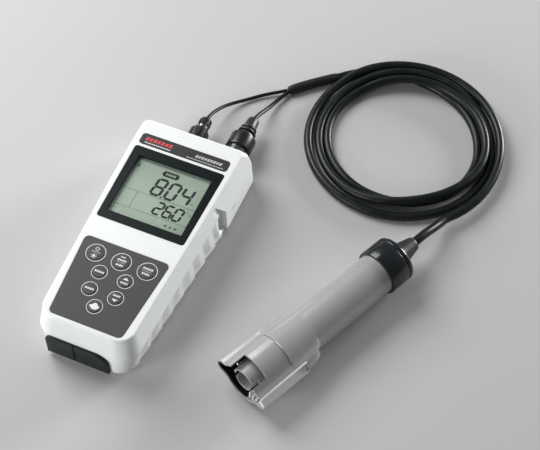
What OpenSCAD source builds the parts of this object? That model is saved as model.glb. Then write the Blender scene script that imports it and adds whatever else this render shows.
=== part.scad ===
// Handheld water quality meter with its probe, plugs and coiled cable.
// Millimetres. +Z is up, +Y runs to the connector end, +X to the meter's right.
// The origin is on the surface, under the middle of the meter.

/* [Meter case] */
// height of the display face above the surface
case_h = 38; // [32:0.5:44]
// height of the parting line between the two case halves
part_z = 21; // [17:0.5:25]
// height of the case bottom above the surface, set by the feet
foot_h = 1; // [0.6:0.1:2]
// wall thickness of the case halves
wall = 2.4; // [1.6:0.1:3.5]
// connector end of the case
end_top = 90; // [80:0.5:100]
// port end of the case
end_bot = -88; // [-100:0.5:-80]
// half width of the head block at its widest
head_w = 42.5; // [38:0.5:46]
// half width of the grip where it meets the head
grip_w = 38.8; // [34:0.2:42]
// half width of the grip's lower edge where it meets the head
base_w = 42.2; // [38:0.1:46]
// half width of the grip at the port end
tail_w = 35.5; // [31:0.5:39]
// number of grip flutes along each side
flutes = 8; // [4:1:9]
// spacing of the grip flutes
flute_pitch = 14.4; // [10:0.1:18]

/* [Display] */
// half width of the display frame at its top edge
bezel_w = 33.5; // [28:0.5:36]
// top edge of the display frame
bezel_top = 60; // [55:0.5:66]
// bottom edge of the display frame
bezel_bot = -2.8; // [-8:0.2:4]
// half width of the visible display
glass_w = 27; // [22:0.5:30]
// top edge of the visible display
glass_top = 52.5; // [48:0.5:56]
// bottom edge of the visible display
glass_bot = 4; // [0:0.5:8]

/* [Keypad] */
// half width of the keypad at its top edge
pad_w = 30.6; // [26:0.2:33]
// half width of the keypad at its bottom edge
pad_w_end = 25.6; // [22:0.2:30]
// top edge of the keypad
pad_top = -19.3; // [-24:0.1:-16]
// bottom edge of the keypad
pad_bot = -80.5; // [-82:0.1:-70]
// radius of the three large keys
big_r = 6.2; // [5:0.1:7]
// radius of the five small keys
small_r = 4.9; // [4:0.1:6]
// travel of a key
key_travel = 0.5; // [0.3:0.1:1]

/* [Connectors] */
// height of both connector axes
plug_z = 13; // [11:0.5:16]
// sideways place of the bayonet connector
bnc_x = -6.8; // [-15:0.1:0]
// sideways place of the round connector
round_x = 24.4; // [18:0.1:28]
// outer radius of the coupling nut
nut_r = 9.4; // [8:0.1:11]
// outer radius of the bayonet collar
collar_r = 7.25; // [6.5:0.05:8]

/* [Probe] */
// radius of the probe tube
tube_r = 14.5; // [12:0.1:17]
// radius of the bulge at the sensor end
bulge_r = 16.3; // [15:0.1:18]
// half width across the wings
wing_w = 23.3; // [20:0.1:26]
// radius of the cap ring
cap_r = 16.5; // [15.5:0.1:19]
// distance from the sensor end to the front of the cap ring
cap_s = 121; // [110:1:130]
// turn of the probe away from the meter's length
probe_turn = 24.3; // [0:0.1:45]

/* [Cable] */
// diameter of the probe cable
cable_d = 6.2; // [5:0.1:7]
// diameter of the sleeve that joins the two leads
sleeve_d = 7.2; // [6:0.1:9]
// diameter of the lead to the bayonet plug
lead_left_d = 2.6; // [2:0.1:3.5]
// diameter of the lead to the round plug
lead_right_d = 3; // [2:0.1:3.5]
// outer radius of the cable coil
coil_r = 75.5; // [60:0.5:90]
// inner radius of the cable coil
coil_in = 51.5; // [40:0.5:60]

/* [Hidden] */
$fn = 64;
eps = 0.01;
gap = 0.1;

white = [0.93, 0.94, 0.94];
black = [0.08, 0.08, 0.09];
charcoal = [0.18, 0.19, 0.2];
grey = [0.62, 0.62, 0.63];
steel = [0.75, 0.76, 0.78];
green = [0.12, 0.4, 0.25];

// levels of the case: round of the front edge, underside of the front skin,
// inner floor, and top of the bevel round the bottom
edge_z = case_h - 2.6;
skin_z = case_h - wall;
floor_z = foot_h + 2.6;
low_z = foot_h + 2.7;
// thickness of the slices that a case half is drawn through
slice_t = 0.3;

// header plate over the display
header_w = 33;
header_top = 71.6;
header_bot = 62.4;
header_proud = 0.15;

// rubber feet as [x, y]; the middle one keeps the grip from rocking
foot_r = 3.5;
feet = [[34, 60], [-34, 60], [15, -78], [-15, -78], [0, 0]];

// case bosses and screws
boss_r = 3.4;
bosses = [[32, 72], [31, -8], [27.5, -77.5]];
screw_r = 1.25;

// key places as [x, y, radius]
big_y = -29.8;
mid_y = -42.1;
low_y = -55.7;
key_power_at = [-18, big_y, big_r];
key_measure_at = [0.5, big_y, big_r];
key_enter_at = [19, big_y, big_r];
key_setup_at = [-9.1, mid_y, small_r];
key_up_at = [9.4, mid_y, small_r];
key_mode_at = [-9.1, low_y, small_r];
key_down_at = [9.4, low_y, small_r];
key_light_at = [-0.2, -66.2, small_r];
keys = [key_power_at, key_measure_at, key_enter_at, key_setup_at,
        key_up_at, key_mode_at, key_down_at, key_light_at];
key_gap = 0.4;
pad_t = 1;
pad_proud = 0.3;

// electronics stack
board_z = case_h - 8.8;
board_t = 1.6;
mat_z = board_z + board_t + 0.7;
mat_t = 1.2;
pip_h = 0.5;
lcd_t = 2.2;
lcd_z = skin_z - lcd_t - 0.2;

// ports under the rubber covers
port_z = 11;
usb_x = -16;
jack_x = 6.5;
cover_split = -5.5;
cover_left = -26;
cover_right = 18.5;
cover_t = 2.2;
cover_axis_z = 3.4;

// battery box: four AAA cells side by side
cell_d = 10.5;
cell_l = 44.5;
box_w = 23.2;
box_y0 = -67.5;
box_y1 = -14.5;
box_top = 15.2;
door_t = 2;

// tilt stand
stand_w = 19;
stand_y0 = 20;
pin_y = 70;
pin_z = 3.5;
pin_r = 1.2;

// probe frame: +Y along the probe from its sensor end, origin on its axis
probe_at = [101.6, -70.3, cap_r];
bulk_s = 34;
tube_end = 128;
relief_end = 157;
slot_h = 4.6;
relief_tip_r = 4.4;

// cable coil
coil_at = [127.3, 161.3];
coil_h = 12.4;

// routes of the free cords, from the first fixed end to the second
lead_left_route = [
    [-6.8, 117, 13], [-6.7, 121, 12.4], [-6.1, 126, 11], [-4.6, 132, 9],
    [-2.2, 138.5, 6.6], [1.6, 145, 4.4], [6.4, 151, 2.8], [11.6, 156.4, 2.2],
    [17, 161.4, 2.2], [23.4, 166.2, 2.5], [28.4, 169.4, 3], [33, 172.4, 3.6]];
lead_right_route = [
    [24.4, 130, 13], [24.7, 134, 12], [25.4, 140, 9.6], [26.5, 146, 7],
    [27.8, 152, 5], [29.2, 158, 3.8], [31.1, 164, 3.4], [34.2, 171.2, 3.6]];
sleeve_route = [
    [33.5, 171.7, 3.6], [41, 179.6, 3.6], [49.2, 187.2, 3.6], [56.6, 193.6, 3.6],
    [63.2, 199, 3.6]];
tail_route = [
    [166.22, 72.8, 16.5], [168.2, 77.6, 16.3], [170.8, 84.6, 14.9], [173.7, 92.4, 12],
    [176, 99, 9.6], [178.2, 105.4, 8.2]];

function unit(v) = v / norm(v);
function mix(a, b, t) = a + (b - a) * t;

// ---- helpers ----

// four corner posts: half width and y at the top and bottom end, and corner radii
module posts(z, t, wt, yt, rt, wb, yb, rb) {
    for (side = [-1, 1]) {
        translate([side * (wt - rt), yt - rt, z])
            cylinder(h = t, r = rt, $fn = 32);
        translate([side * (wb - rb), yb + rb, z])
            cylinder(h = t, r = rb, $fn = 32);
    }
}

module along_y() {
    rotate([-90, 0, 0])
        children();
}

module mirrored() {
    children();
    mirror([1, 0, 0])
        children();
}

module at_bosses() {
    for (b = bosses)
        for (side = [-1, 1])
            translate([side * b[0], b[1], 0])
                children();
}

// flat trapezoid with round corners, centred on x; r_bot is the radius at its y_bot end
module trapezoid(w_top, y_top, w_bot, y_bot, r, r_bot = undef) {
    low_r = is_undef(r_bot) ? r : r_bot;
    hull()
        for (side = [-1, 1]) {
            translate([side * (w_top - r), y_top - r])
                circle(r = r, $fn = 32);
            translate([side * (w_bot - low_r), y_bot + low_r])
                circle(r = low_r, $fn = 32);
        }
}

// tube along a route, one ring of sides at each point
function tangent(route, i) =
    i == 0 ? unit(route[1] - route[0])
    : i == len(route) - 1 ? unit(route[i] - route[i - 1])
    : unit(unit(route[i] - route[i - 1]) + unit(route[i + 1] - route[i]));

function ring(p, t, r, sides) =
    let (s = unit(cross(t, [0, 0, 1])), u = cross(s, t))
    [for (k = [0 : sides - 1]) p + r * (cos(360 * k / sides) * s + sin(360 * k / sides) * u)];

module swept_tube(route, d, sides) {
    rings = len(route);
    points = [for (i = [0 : rings - 1]) each ring(route[i], tangent(route, i), d / 2, sides)];
    skin = [for (i = [0 : rings - 2]) for (k = [0 : sides - 1])
        let (a = i * sides + k, b = i * sides + (k + 1) % sides)
        each [[a, a + sides, b + sides], [a, b + sides, b]]];
    cap_a = [[for (k = [0 : sides - 1]) k]];
    cap_b = [[for (k = [sides - 1 : -1 : 0]) (rings - 1) * sides + k]];
    polyhedron(points = points, faces = concat(skin, cap_a, cap_b));
}

module on_probe() {
    translate(probe_at)
        rotate([0, 0, -probe_turn])
            children();
}

// ---- meter case ----

// grip and tail of the front half; inset shrinks it for the hollow
module front_grip(inset, z0, z1, z2) {
    hull() {
        posts(z0, slice_t, grip_w - inset, 48, 1, tail_w - inset, end_bot + inset, 14 - inset);
        posts(z1 - slice_t, slice_t, grip_w - 0.7 - inset, 48, 1,
            tail_w - 2.5 - inset, end_bot + 3.7 + inset, 12.5 - inset);
        posts(z2 - slice_t, slice_t, grip_w - 2.6 - inset, 48, 1,
            tail_w - 4.3 - inset, end_bot + 5.4 + inset, 11 - inset);
    }
}

module front_head(inset, z0, z1, z2) {
    hull() {
        posts(z0, slice_t, head_w - 2.3 - inset, end_top - inset, 6, head_w - 2.3 - inset, 44, 1);
        posts(z1 - slice_t, slice_t, grip_w - 0.4 - inset, end_top - 6 - inset, 5,
            grip_w - 0.4 - inset, 34, 1);
        posts(z2 - slice_t, slice_t, grip_w - 2.2 - inset, end_top - 7.8 - inset, 4,
            grip_w - 2.2 - inset, 34, 1);
    }
}

module rear_grip(inset, z0, z1, z2) {
    hull() {
        posts(z0, slice_t, base_w - 2.7 - inset, 48, 1,
            tail_w - 5 - inset, end_bot + 2.5 + inset, 11 - inset);
        posts(z1, slice_t, base_w - inset, 48, 1, tail_w - 2.2 - inset, end_bot + inset, 13 - inset);
        posts(z2 - slice_t, slice_t, grip_w - inset, 48, 1,
            tail_w - inset, end_bot + inset, 14 - inset);
    }
}

module rear_head(inset, z0, z1, z2) {
    hull() {
        posts(z0, slice_t, head_w - 2.7 - inset, end_top - 2.7 - inset, 4,
            head_w - 2.7 - inset, 44, 1);
        posts(z1, slice_t, head_w - inset, end_top - inset, 6, head_w - inset, 42, 1);
        posts(z2 - slice_t, slice_t, head_w - 2.3 - inset, end_top - inset, 6,
            head_w - 2.3 - inset, 44, 1);
    }
}

// one hollow shape serves both halves
module hollow(z0, z1) {
    hull() {
        posts(z0, slice_t, grip_w - 3, end_top - 3, 3, tail_w - 5, end_bot + 3, 10);
        posts(part_z, slice_t, grip_w - 2.6, end_top - 3, 3, tail_w - 2.6, end_bot + 3, 11);
        posts(z1 - slice_t, slice_t, grip_w - 3.4, end_top - 9, 3, tail_w - 5.4, end_bot + 6.4, 9);
    }
}

// half width of the grip at a place along it and a height below the parting line
function flank(y, z) =
    let (t = (48 - y) / (48 - end_bot - 14), u = (z - low_z) / (part_z - low_z))
    mix(mix(base_w, grip_w, u), mix(tail_w - 2.2, tail_w, u), t);

// scoops of the grip: they stop above the lower edge and run out at the parting line
module flute_cuts() {
    cut_r = 14;
    cut_z = low_z + 4.3;
    for (i = [0 : flutes - 1]) {
        y = 33.2 - i * flute_pitch;
        deep = mix(2.9, 1.3, i / (flutes - 1));
        x_low = flank(y, cut_z) - deep;
        x_high = flank(y, part_z) - 0.2;
        lean = atan((x_high - x_low) / (part_z - cut_z));
        translate([x_low + cut_r, y, cut_z])
            rotate([0, lean, 0])
                translate([0, 0, -2.6])
                    cylinder(h = 30, r = cut_r);
    }
}

module front_case() {
    color(white)
    difference() {
        union() {
            difference() {
                union() {
                    front_grip(0, part_z, edge_z, case_h);
                    front_head(0, part_z, edge_z, case_h);
                }
                hollow(part_z - 1, skin_z);
            }
            intersection() {
                union() {
                    at_bosses()
                        translate([0, 0, part_z])
                            cylinder(h = skin_z - part_z + 1, r = boss_r);
                    for (y = [-16, 66])
                        mirrored()
                            translate([22, y, board_z + board_t])
                                cylinder(h = skin_z - board_z - board_t + 1, r = 2.2);
                }
                translate([-40, -90, part_z])
                    cube([80, 180, skin_z - part_z + 1]);
            }
        }
        // seats of the display frame, header plate and keypad
        translate([0, 0, case_h - 1])
            linear_extrude(2)
                trapezoid(bezel_w + gap, bezel_top + gap, bezel_w - 1.8 + gap, bezel_bot - gap, 2);
        translate([0, 0, case_h - 0.6])
            linear_extrude(2)
                trapezoid(header_w + gap, header_top + gap, header_w + gap, header_bot - gap, 2.5);
        translate([0, 0, case_h + pad_proud - pad_t])
            linear_extrude(2)
                trapezoid(pad_w + gap, pad_top + gap, pad_w_end + gap, pad_bot - gap, 3.5);
        // window
        translate([-glass_w - 2.2, glass_bot - 2.2, skin_z - 1])
            cube([2 * glass_w + 4.4, glass_top - glass_bot + 4.4, 6]);
        // key holes
        for (k = keys)
            translate([k[0], k[1], skin_z - 1])
                cylinder(h = 6, r = k[2] + key_gap);
        // screw pilots
        at_bosses()
            translate([0, 0, part_z - 1])
                cylinder(h = 13, r = screw_r + 0.05);
    }
}

module gasket_plan(slack) {
    difference() {
        trapezoid(grip_w - 0.9 + slack, end_top - 1.2 + slack, tail_w - 0.9 + slack,
            end_bot + 1 - slack, 5, 13);
        trapezoid(grip_w - 2 - slack, end_top - 2.3 - slack, tail_w - 2 - slack,
            end_bot + 2.1 + slack, 4, 12);
    }
}

module case_gasket() {
    color(charcoal)
    translate([0, 0, part_z - 0.7])
        linear_extrude(0.7)
            gasket_plan(0);
}

module rear_case() {
    color(white)
    difference() {
        union() {
            difference() {
                union() {
                    rear_grip(0, foot_h, low_z, part_z);
                    rear_head(0, foot_h, low_z, part_z);
                }
                hollow(floor_z, skin_z);
                mirrored()
                    flute_cuts();
            }
            intersection() {
                at_bosses()
                    translate([0, 0, floor_z - 1])
                        cylinder(h = part_z - floor_z + 1, r = boss_r);
                translate([-40, -90, foot_h])
                    cube([80, 180, part_z - foot_h]);
            }
            // battery box
            translate([-box_w - 1.6, box_y0 - 1.6, floor_z - 1])
                cube([2 * box_w + 3.2, box_y1 - box_y0 + 3.2, box_top + 1.6 - floor_z + 1]);
            // boss of the battery door screw
            translate([0, box_y1 + 5, floor_z - 1])
                cylinder(h = 8, r = 3.6);
            // stand housing
            translate([-stand_w - 4.6, stand_y0 - 2.4, floor_z - 1])
                cube([2 * stand_w + 9.2, pin_y - stand_y0 + 7.6, 5]);
        }
        // sockets at the connector end
        for (x = [bnc_x, round_x])
            translate([x, end_top - 6, plug_z])
                along_y()
                    cylinder(h = 10, r = 6.3);
        // ports
        translate([usb_x - 6.5, end_bot - 1, port_z - 4.2])
            cube([13, 5, 8.4]);
        translate([jack_x, end_bot - 1, port_z])
            along_y()
                cylinder(h = 5, r = 5.2);
        // battery box hollow and door seat
        translate([-box_w, box_y0, foot_h - 1])
            cube([2 * box_w, box_y1 - box_y0, box_top - foot_h + 1]);
        translate([0, 0, foot_h - 1])
            linear_extrude(door_t + 1.1)
                trapezoid(box_w + 3 + gap, box_y1 + 9 + gap, box_w + 3 + gap, box_y0 - 4 - gap, 3);
        translate([0, box_y1 + 5, foot_h])
            cylinder(h = 8.6, r = 1.6);
        // stand recess
        translate([-stand_w - 0.4, stand_y0 - 0.6, foot_h - 1])
            cube([2 * stand_w + 0.8, pin_y - stand_y0 + 3.6, 5.4 + 1]);
        translate([-stand_w - 3.2, pin_y, pin_z])
            rotate([0, 90, 0])
                cylinder(h = 2 * stand_w + 6.4, r = pin_r + 0.03);
        // case screws
        at_bosses() {
            translate([0, 0, foot_h - 1])
                cylinder(h = 30, r = screw_r + 0.15);
            translate([0, 0, foot_h - 1])
                cylinder(h = 4.4, r = 2.8);
        }
        // gasket groove
        translate([0, 0, part_z - 0.7])
            linear_extrude(2)
                gasket_plan(0.1);
        // seats of the feet
        at_feet()
            translate([0, 0, foot_h - eps])
                cylinder(h = 0.6, r = foot_r + gap);
    }
}

module at_feet() {
    for (f = feet)
        translate([f[0], f[1], 0])
            children();
}

module case_screws() {
    color(steel)
    at_bosses()
        difference() {
            union() {
                translate([0, 0, foot_h + 0.9])
                    cylinder(h = 2.4, r = 2.5);
                translate([0, 0, foot_h + 1])
                    cylinder(h = 30, r = screw_r);
            }
            translate([-1.6, -0.3, foot_h])
                cube([3.2, 0.6, 1.8]);
            translate([-0.3, -1.6, foot_h])
                cube([0.6, 3.2, 1.8]);
        }
}

module rubber_feet() {
    color(black)
    at_feet()
        rotate_extrude()
            polygon([[0, 0], [foot_r - 0.5, 0], [foot_r, 0.5], [foot_r, foot_h + 0.55],
                [0, foot_h + 0.55]]);
}

// ---- display ----

module header_plate() {
    color(charcoal)
    translate([0, 0, case_h - 0.6])
        linear_extrude(0.6 + header_proud)
            trapezoid(header_w, header_top, header_w, header_bot, 2.4);
}

module display_bezel() {
    color(black)
    translate([0, 0, case_h - 1])
        linear_extrude(1.25)
            difference() {
                trapezoid(bezel_w, bezel_top, bezel_w - 1.8, bezel_bot, 2);
                translate([-glass_w, glass_bot])
                    square([2 * glass_w, glass_top - glass_bot]);
            }
}

module display_window() {
    color([0.8, 0.85, 0.85, 0.5])
    translate([-glass_w - 2, glass_bot - 2, skin_z])
        cube([2 * glass_w + 4, glass_top - glass_bot + 4, 1.3]);
}

module lcd_panel() {
    color([0.66, 0.72, 0.64])
    translate([-glass_w - 1.6, glass_bot - 1.6, lcd_z])
        cube([2 * glass_w + 3.2, glass_top - glass_bot + 3.2, lcd_t]);
}

module lcd_holder() {
    holder_z = board_z + board_t;
    color([0.85, 0.85, 0.83])
    difference() {
        translate([-glass_w - 3, glass_bot - 3, holder_z])
            cube([2 * glass_w + 6, glass_top - glass_bot + 6, skin_z - holder_z - 0.1]);
        translate([-glass_w - 1.65, glass_bot - 1.65, lcd_z])
            cube([2 * glass_w + 3.3, glass_top - glass_bot + 3.3, 5]);
        translate([-glass_w + 1.5, glass_bot + 4, holder_z - 1])
            cube([2 * glass_w - 3, glass_top - glass_bot - 8, 8]);
        for (y = [glass_bot - 0.6, glass_top - 2.4])
            translate([-glass_w + 2, y, holder_z - 1])
                cube([2 * glass_w - 4, 3, 8]);
    }
}

module lcd_contacts() {
    holder_z = board_z + board_t;
    color([0.9, 0.55, 0.5])
    for (y = [glass_bot - 0.2, glass_top - 2])
        translate([-glass_w + 2.5, y, holder_z])
            cube([2 * glass_w - 5, 2.2, lcd_z - holder_z]);
}

// ---- keypad ----

module keypad_overlay() {
    color([0.34, 0.34, 0.35])
    translate([0, 0, case_h + pad_proud - pad_t])
        linear_extrude(pad_t)
            difference() {
                trapezoid(pad_w, pad_top, pad_w_end, pad_bot, 3.4);
                for (k = keys)
                    translate([k[0], k[1]])
                        circle(r = k[2] + key_gap / 2);
            }
}

module key(at) {
    flange_z = skin_z - 1.1;
    foot_z = mat_z + mat_t + pip_h + key_travel + 0.3;
    color([0.3, 0.3, 0.31])
    translate([at[0], at[1], 0])
        rotate_extrude()
            polygon([[0, foot_z], [2.5, foot_z], [2.5, flange_z],
                [at[2] + 1, flange_z], [at[2] + 1, flange_z + 0.8], [at[2], flange_z + 0.8],
                [at[2], case_h + 0.35], [at[2] - 0.6, case_h + 0.6], [at[2] * 0.6, case_h + 0.8],
                [0, case_h + 0.9]]);
}

module key_power() {
    key(key_power_at);
}

module key_measure() {
    key(key_measure_at);
}

module key_enter() {
    key(key_enter_at);
}

module key_setup() {
    key(key_setup_at);
}

module key_up() {
    key(key_up_at);
}

module key_mode() {
    key(key_mode_at);
}

module key_down() {
    key(key_down_at);
}

module key_light() {
    key(key_light_at);
}

module key_mat() {
    color([0.75, 0.75, 0.73])
    union() {
        translate([0, 0, mat_z])
            linear_extrude(mat_t)
                trapezoid(27, -22, 23, -73.5, 3);
        for (k = keys)
            translate([k[0], k[1], mat_z + mat_t])
                cylinder(h = pip_h, r = 3.4);
    }
}

module switch_domes() {
    color(steel)
    for (k = keys)
        translate([k[0], k[1], board_z + board_t])
            cylinder(h = 0.6, r = 2.6);
}

// ---- electronics ----

module main_board() {
    color(green)
    difference() {
        translate([-26, -72, board_z])
            cube([52, 144, board_t]);
        for (y = [-16, 66])
            mirrored()
                translate([22, y, board_z - 1])
                    cylinder(h = 4, r = 1);
    }
}

// chips as [x, y, width, length, height], under the board
chips = [[-12, 20, 12, 12, 1.6], [8, 24, 9, 6, 1.4], [-4, -4, 6, 9, 1.4], [14, -2, 8, 8, 1.8],
    [-14, 46, 10, 5, 1.5], [12, 50, 7, 7, 2.2], [4, -40, 5, 4, 1.2]];

module board_chips() {
    color(charcoal)
    union() {
        for (c = chips)
            translate([c[0], c[1], board_z - c[4]])
                cube([c[2], c[3], c[4]]);
        translate([-20, 60, board_z - 5])
            cylinder(h = 5, r = 3);
        translate([20, 38, board_z - 5])
            cylinder(h = 5, r = 3);
    }
}

module bnc_socket() {
    color(steel)
    translate([bnc_x, 0, plug_z])
        along_y() {
            difference() {
                union() {
                    translate([0, 0, 79])
                        cylinder(h = 6, r = 4);
                    translate([0, 0, 83.8])
                        cylinder(h = end_top - 83.8, r = 6.2);
                    translate([0, 0, end_top])
                        cylinder(h = 1.2, r = 7.6);
                    translate([0, 0, end_top])
                        cylinder(h = 9.5, r = 4.8);
                    translate([-5.6, 0, 96.5])
                        rotate([0, 90, 0])
                            cylinder(h = 11.2, r = 0.9);
                }
                translate([0, 0, end_top + 2])
                    cylinder(h = 10, r = 4.15);
            }
            difference() {
                translate([0, 0, end_top + 1.8])
                    cylinder(h = 7, r = 2.2);
                translate([0, 0, end_top + 3])
                    cylinder(h = 8, r = 0.75);
            }
        }
}

module round_socket() {
    color(steel)
    translate([round_x, 0, plug_z])
        along_y() {
            difference() {
                union() {
                    translate([0, 0, 80])
                        cylinder(h = 5, r = 5);
                    translate([0, 0, 83.8])
                        cylinder(h = end_top - 83.8, r = 6.2);
                    translate([0, 0, end_top])
                        cylinder(h = 1.6, r = 8.7);
                    translate([0, 0, end_top])
                        cylinder(h = 15.6, r = 7.9);
                }
                translate([0, 0, 101])
                    cylinder(h = 6, r = 6.5);
            }
            for (k = [0 : 5])
                rotate([0, 0, 60 * k + 30])
                    translate([3.6, 0, 100])
                        cylinder(h = 3.6, r = 0.5, $fn = 24);
        }
}

module socket_nuts() {
    color(steel)
    for (x = [bnc_x, round_x])
        translate([x, 84.6, plug_z])
            along_y()
                difference() {
                    intersection() {
                        cylinder(h = 2.4, r = 8);
                        for_hex(7.6, 2.4);
                    }
                    translate([0, 0, -1])
                        cylinder(h = 5, r = 6.25);
                }
}

// hexagonal prism by its distance across flats, halved
module for_hex(flat, h) {
    linear_extrude(h)
        polygon([for (k = [0 : 5]) flat / cos(30) * [cos(60 * k + 30), sin(60 * k + 30)]]);
}

module usb_socket() {
    color(steel)
    difference() {
        translate([usb_x - 4, end_bot + 3.1, port_z - 2])
            cube([8, 8, 4]);
        translate([usb_x - 3.3, end_bot + 2, port_z - 1.4])
            cube([6.6, 7, 2.8]);
    }
}

module dc_jack() {
    color(black)
    translate([jack_x, end_bot + 3.1, port_z])
        difference() {
            translate([-4.5, 0, -4.5])
                cube([9, 11, 9]);
            translate([0, -1, 0])
                along_y()
                    cylinder(h = 9, r = 2.9);
        }
    color(black)
    translate([jack_x, end_bot + 5, port_z])
        along_y()
            cylinder(h = 7, r = 1);
}

// ---- rubber port covers ----

// front outline of both covers, seen from the port end
module cover_outline() {
    top = part_z + 0.4;
    hull() {
        translate([cover_left + 4, top - 4])
            circle(r = 4, $fn = 32);
        translate([cover_right - 9, top - 9])
            circle(r = 9, $fn = 32);
        translate([cover_left, cover_axis_z])
            square([cover_right - cover_left, 1]);
    }
}

module cover(x0, x1) {
    axis_y = end_bot - gap - cover_t / 2;
    color(charcoal)
    union() {
        intersection() {
            translate([0, end_bot - gap, 0])
                rotate([90, 0, 0])
                    linear_extrude(cover_t)
                        cover_outline();
            translate([x0, end_bot - 10, cover_axis_z])
                cube([x1 - x0, 20, 30]);
        }
        translate([x0, axis_y, cover_axis_z])
            rotate([0, 90, 0])
                cylinder(h = x1 - x0, r = cover_t / 2);
        children();
    }
}

module port_cover_left() {
    cover(cover_left, cover_split - 0.15)
        translate([usb_x - 4.5, end_bot - 1, port_z - 2])
            cube([9, 2.6, 4]);
}

module port_cover_right() {
    cover(cover_split + 0.15, cover_right)
        translate([jack_x, end_bot - 1, port_z])
            along_y()
                cylinder(h = 2.6, r = 3.4);
}

// ---- batteries ----

module battery_door() {
    color(white)
    difference() {
        union() {
            translate([0, 0, foot_h])
                linear_extrude(door_t)
                    trapezoid(box_w + 3, box_y1 + 9, box_w + 3, box_y0 - 4, 3);
            translate([-box_w + 1, box_y0 + 1, foot_h + door_t - eps])
                difference() {
                    cube([2 * box_w - 2, box_y1 - box_y0 - 2, 1.2]);
                    translate([1.2, 1.2, -1])
                        cube([2 * box_w - 4.4, box_y1 - box_y0 - 4.4, 4]);
                }
        }
        translate([0, box_y1 + 5, foot_h - 1])
            cylinder(h = 5, r = 1.6);
        translate([0, box_y1 + 5, foot_h - 1])
            cylinder(h = 2.1, r = 3.3);
        for (x = [-8, -4, 0, 4, 8])
            translate([x - 0.6, box_y0 + 6, foot_h - 0.4])
                cube([1.2, 12, 0.8]);
    }
}

module door_seal() {
    color(black)
    translate([0, 0, foot_h + door_t + 0.02])
        linear_extrude(0.9)
            difference() {
                square_ring(box_w - 0.2, box_y0 + 0.2, box_y1 - 0.2);
                square_ring(box_w - 0.95, box_y0 + 0.95, box_y1 - 0.95);
            }
}

module square_ring(w, y0, y1) {
    translate([-w, y0])
        square([2 * w, y1 - y0]);
}

module door_screw() {
    color(steel)
    translate([0, box_y1 + 5, 0])
        difference() {
            union() {
                translate([0, 0, foot_h + 0.1])
                    cylinder(h = 0.95, r = 3.1);
                translate([0, 0, foot_h + 0.5])
                    cylinder(h = 7.4, r = 1.5);
            }
            translate([-4, -0.5, foot_h - 0.5])
                cube([8, 1, 1]);
        }
}

module battery_cells() {
    color([0.75, 0.55, 0.2])
    for (k = [0 : 3]) {
        turn = k % 2 == 0 ? 0 : 180;
        translate([(k - 1.5) * 11.2, (box_y0 + box_y1) / 2, foot_h + door_t + 1.4 + cell_d / 2])
            rotate([0, 0, turn])
                along_y() {
                    translate([0, 0, -cell_l / 2])
                        cylinder(h = cell_l - 1, r = cell_d / 2);
                    translate([0, 0, -cell_l / 2])
                        cylinder(h = cell_l, r = 1.9);
                }
    }
}

module battery_contacts() {
    color(steel)
    for (y = [box_y0 + 0.02, box_y1 - 0.52])
        for (k = [0 : 3]) {
            spring = (k % 2 == 0) == (y < -40);
            inner = y < -40 ? y + 0.5 : y;
            sign = y < -40 ? 1 : -1;
            reach = spring ? 3.6 : 3.4;
            translate([(k - 1.5) * 11.2 - 4.2, y, foot_h + door_t + 2])
                cube([8.4, 0.5, 9]);
            translate([(k - 1.5) * 11.2, inner, foot_h + door_t + 1.4 + cell_d / 2])
                rotate([-90 * sign, 0, 0])
                    translate([0, 0, -0.2])
                        cylinder(h = reach, r1 = spring ? 3.6 : 2.4, r2 = spring ? 2.4 : 1.6);
        }
}

// ---- tilt stand ----

module tilt_stand() {
    color(white)
    difference() {
        union() {
            translate([-stand_w, stand_y0, foot_h + 0.1])
                cube([2 * stand_w, pin_y - stand_y0, 3]);
            translate([-stand_w, pin_y, pin_z])
                rotate([0, 90, 0])
                    cylinder(h = 2 * stand_w, r = 2.4);
        }
        translate([-stand_w + 7, stand_y0 + 9, foot_h - 1])
            cube([2 * stand_w - 14, pin_y - stand_y0 - 16, 10]);
        translate([-stand_w - 1, pin_y, pin_z])
            rotate([0, 90, 0])
                cylinder(h = 2 * stand_w + 2, r = pin_r + 0.05);
        translate([0, stand_y0 - 3, foot_h - 1])
            cylinder(h = 6, r = 8);
    }
}

module stand_pin() {
    color(steel)
    translate([-stand_w - 3, pin_y, pin_z])
        rotate([0, 90, 0])
            cylinder(h = 2 * stand_w + 6, r = pin_r);
}

// ---- plugs ----

module bnc_collar() {
    color(steel)
    translate([bnc_x, 0, plug_z])
        along_y()
            difference() {
                rotate_extrude()
                    polygon([[5.75, 91.6], [collar_r - 0.4, 91.6], [collar_r, 92], [collar_r, 96],
                        [collar_r - 0.5, 96.5], [collar_r - 0.5, 97.5], [collar_r, 98],
                        [collar_r, 105.4], [collar_r - 0.8, 106], [4.7, 106], [4.7, 104.5],
                        [5.75, 104.5]]);
                for (k = [0 : 17])
                    rotate([0, 0, 20 * k])
                        translate([collar_r + 0.55, 0, 98.6])
                            cylinder(h = 6, r = 0.8, $fn = 24);
            }
}

module bnc_plug() {
    color(steel)
    translate([bnc_x, 0, plug_z])
        along_y()
            union() {
                difference() {
                    translate([0, 0, 93])
                        cylinder(h = 8, r = 4.05);
                    translate([0, 0, 92])
                        cylinder(h = 8.2, r = 3.4);
                }
                translate([0, 0, 94])
                    cylinder(h = 8, r = 0.65);
                translate([0, 0, 100.2])
                    cylinder(h = 4.1, r = 5.6);
                translate([0, 0, 104])
                    cylinder(h = 5, r = 4.5);
            }
}

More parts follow.
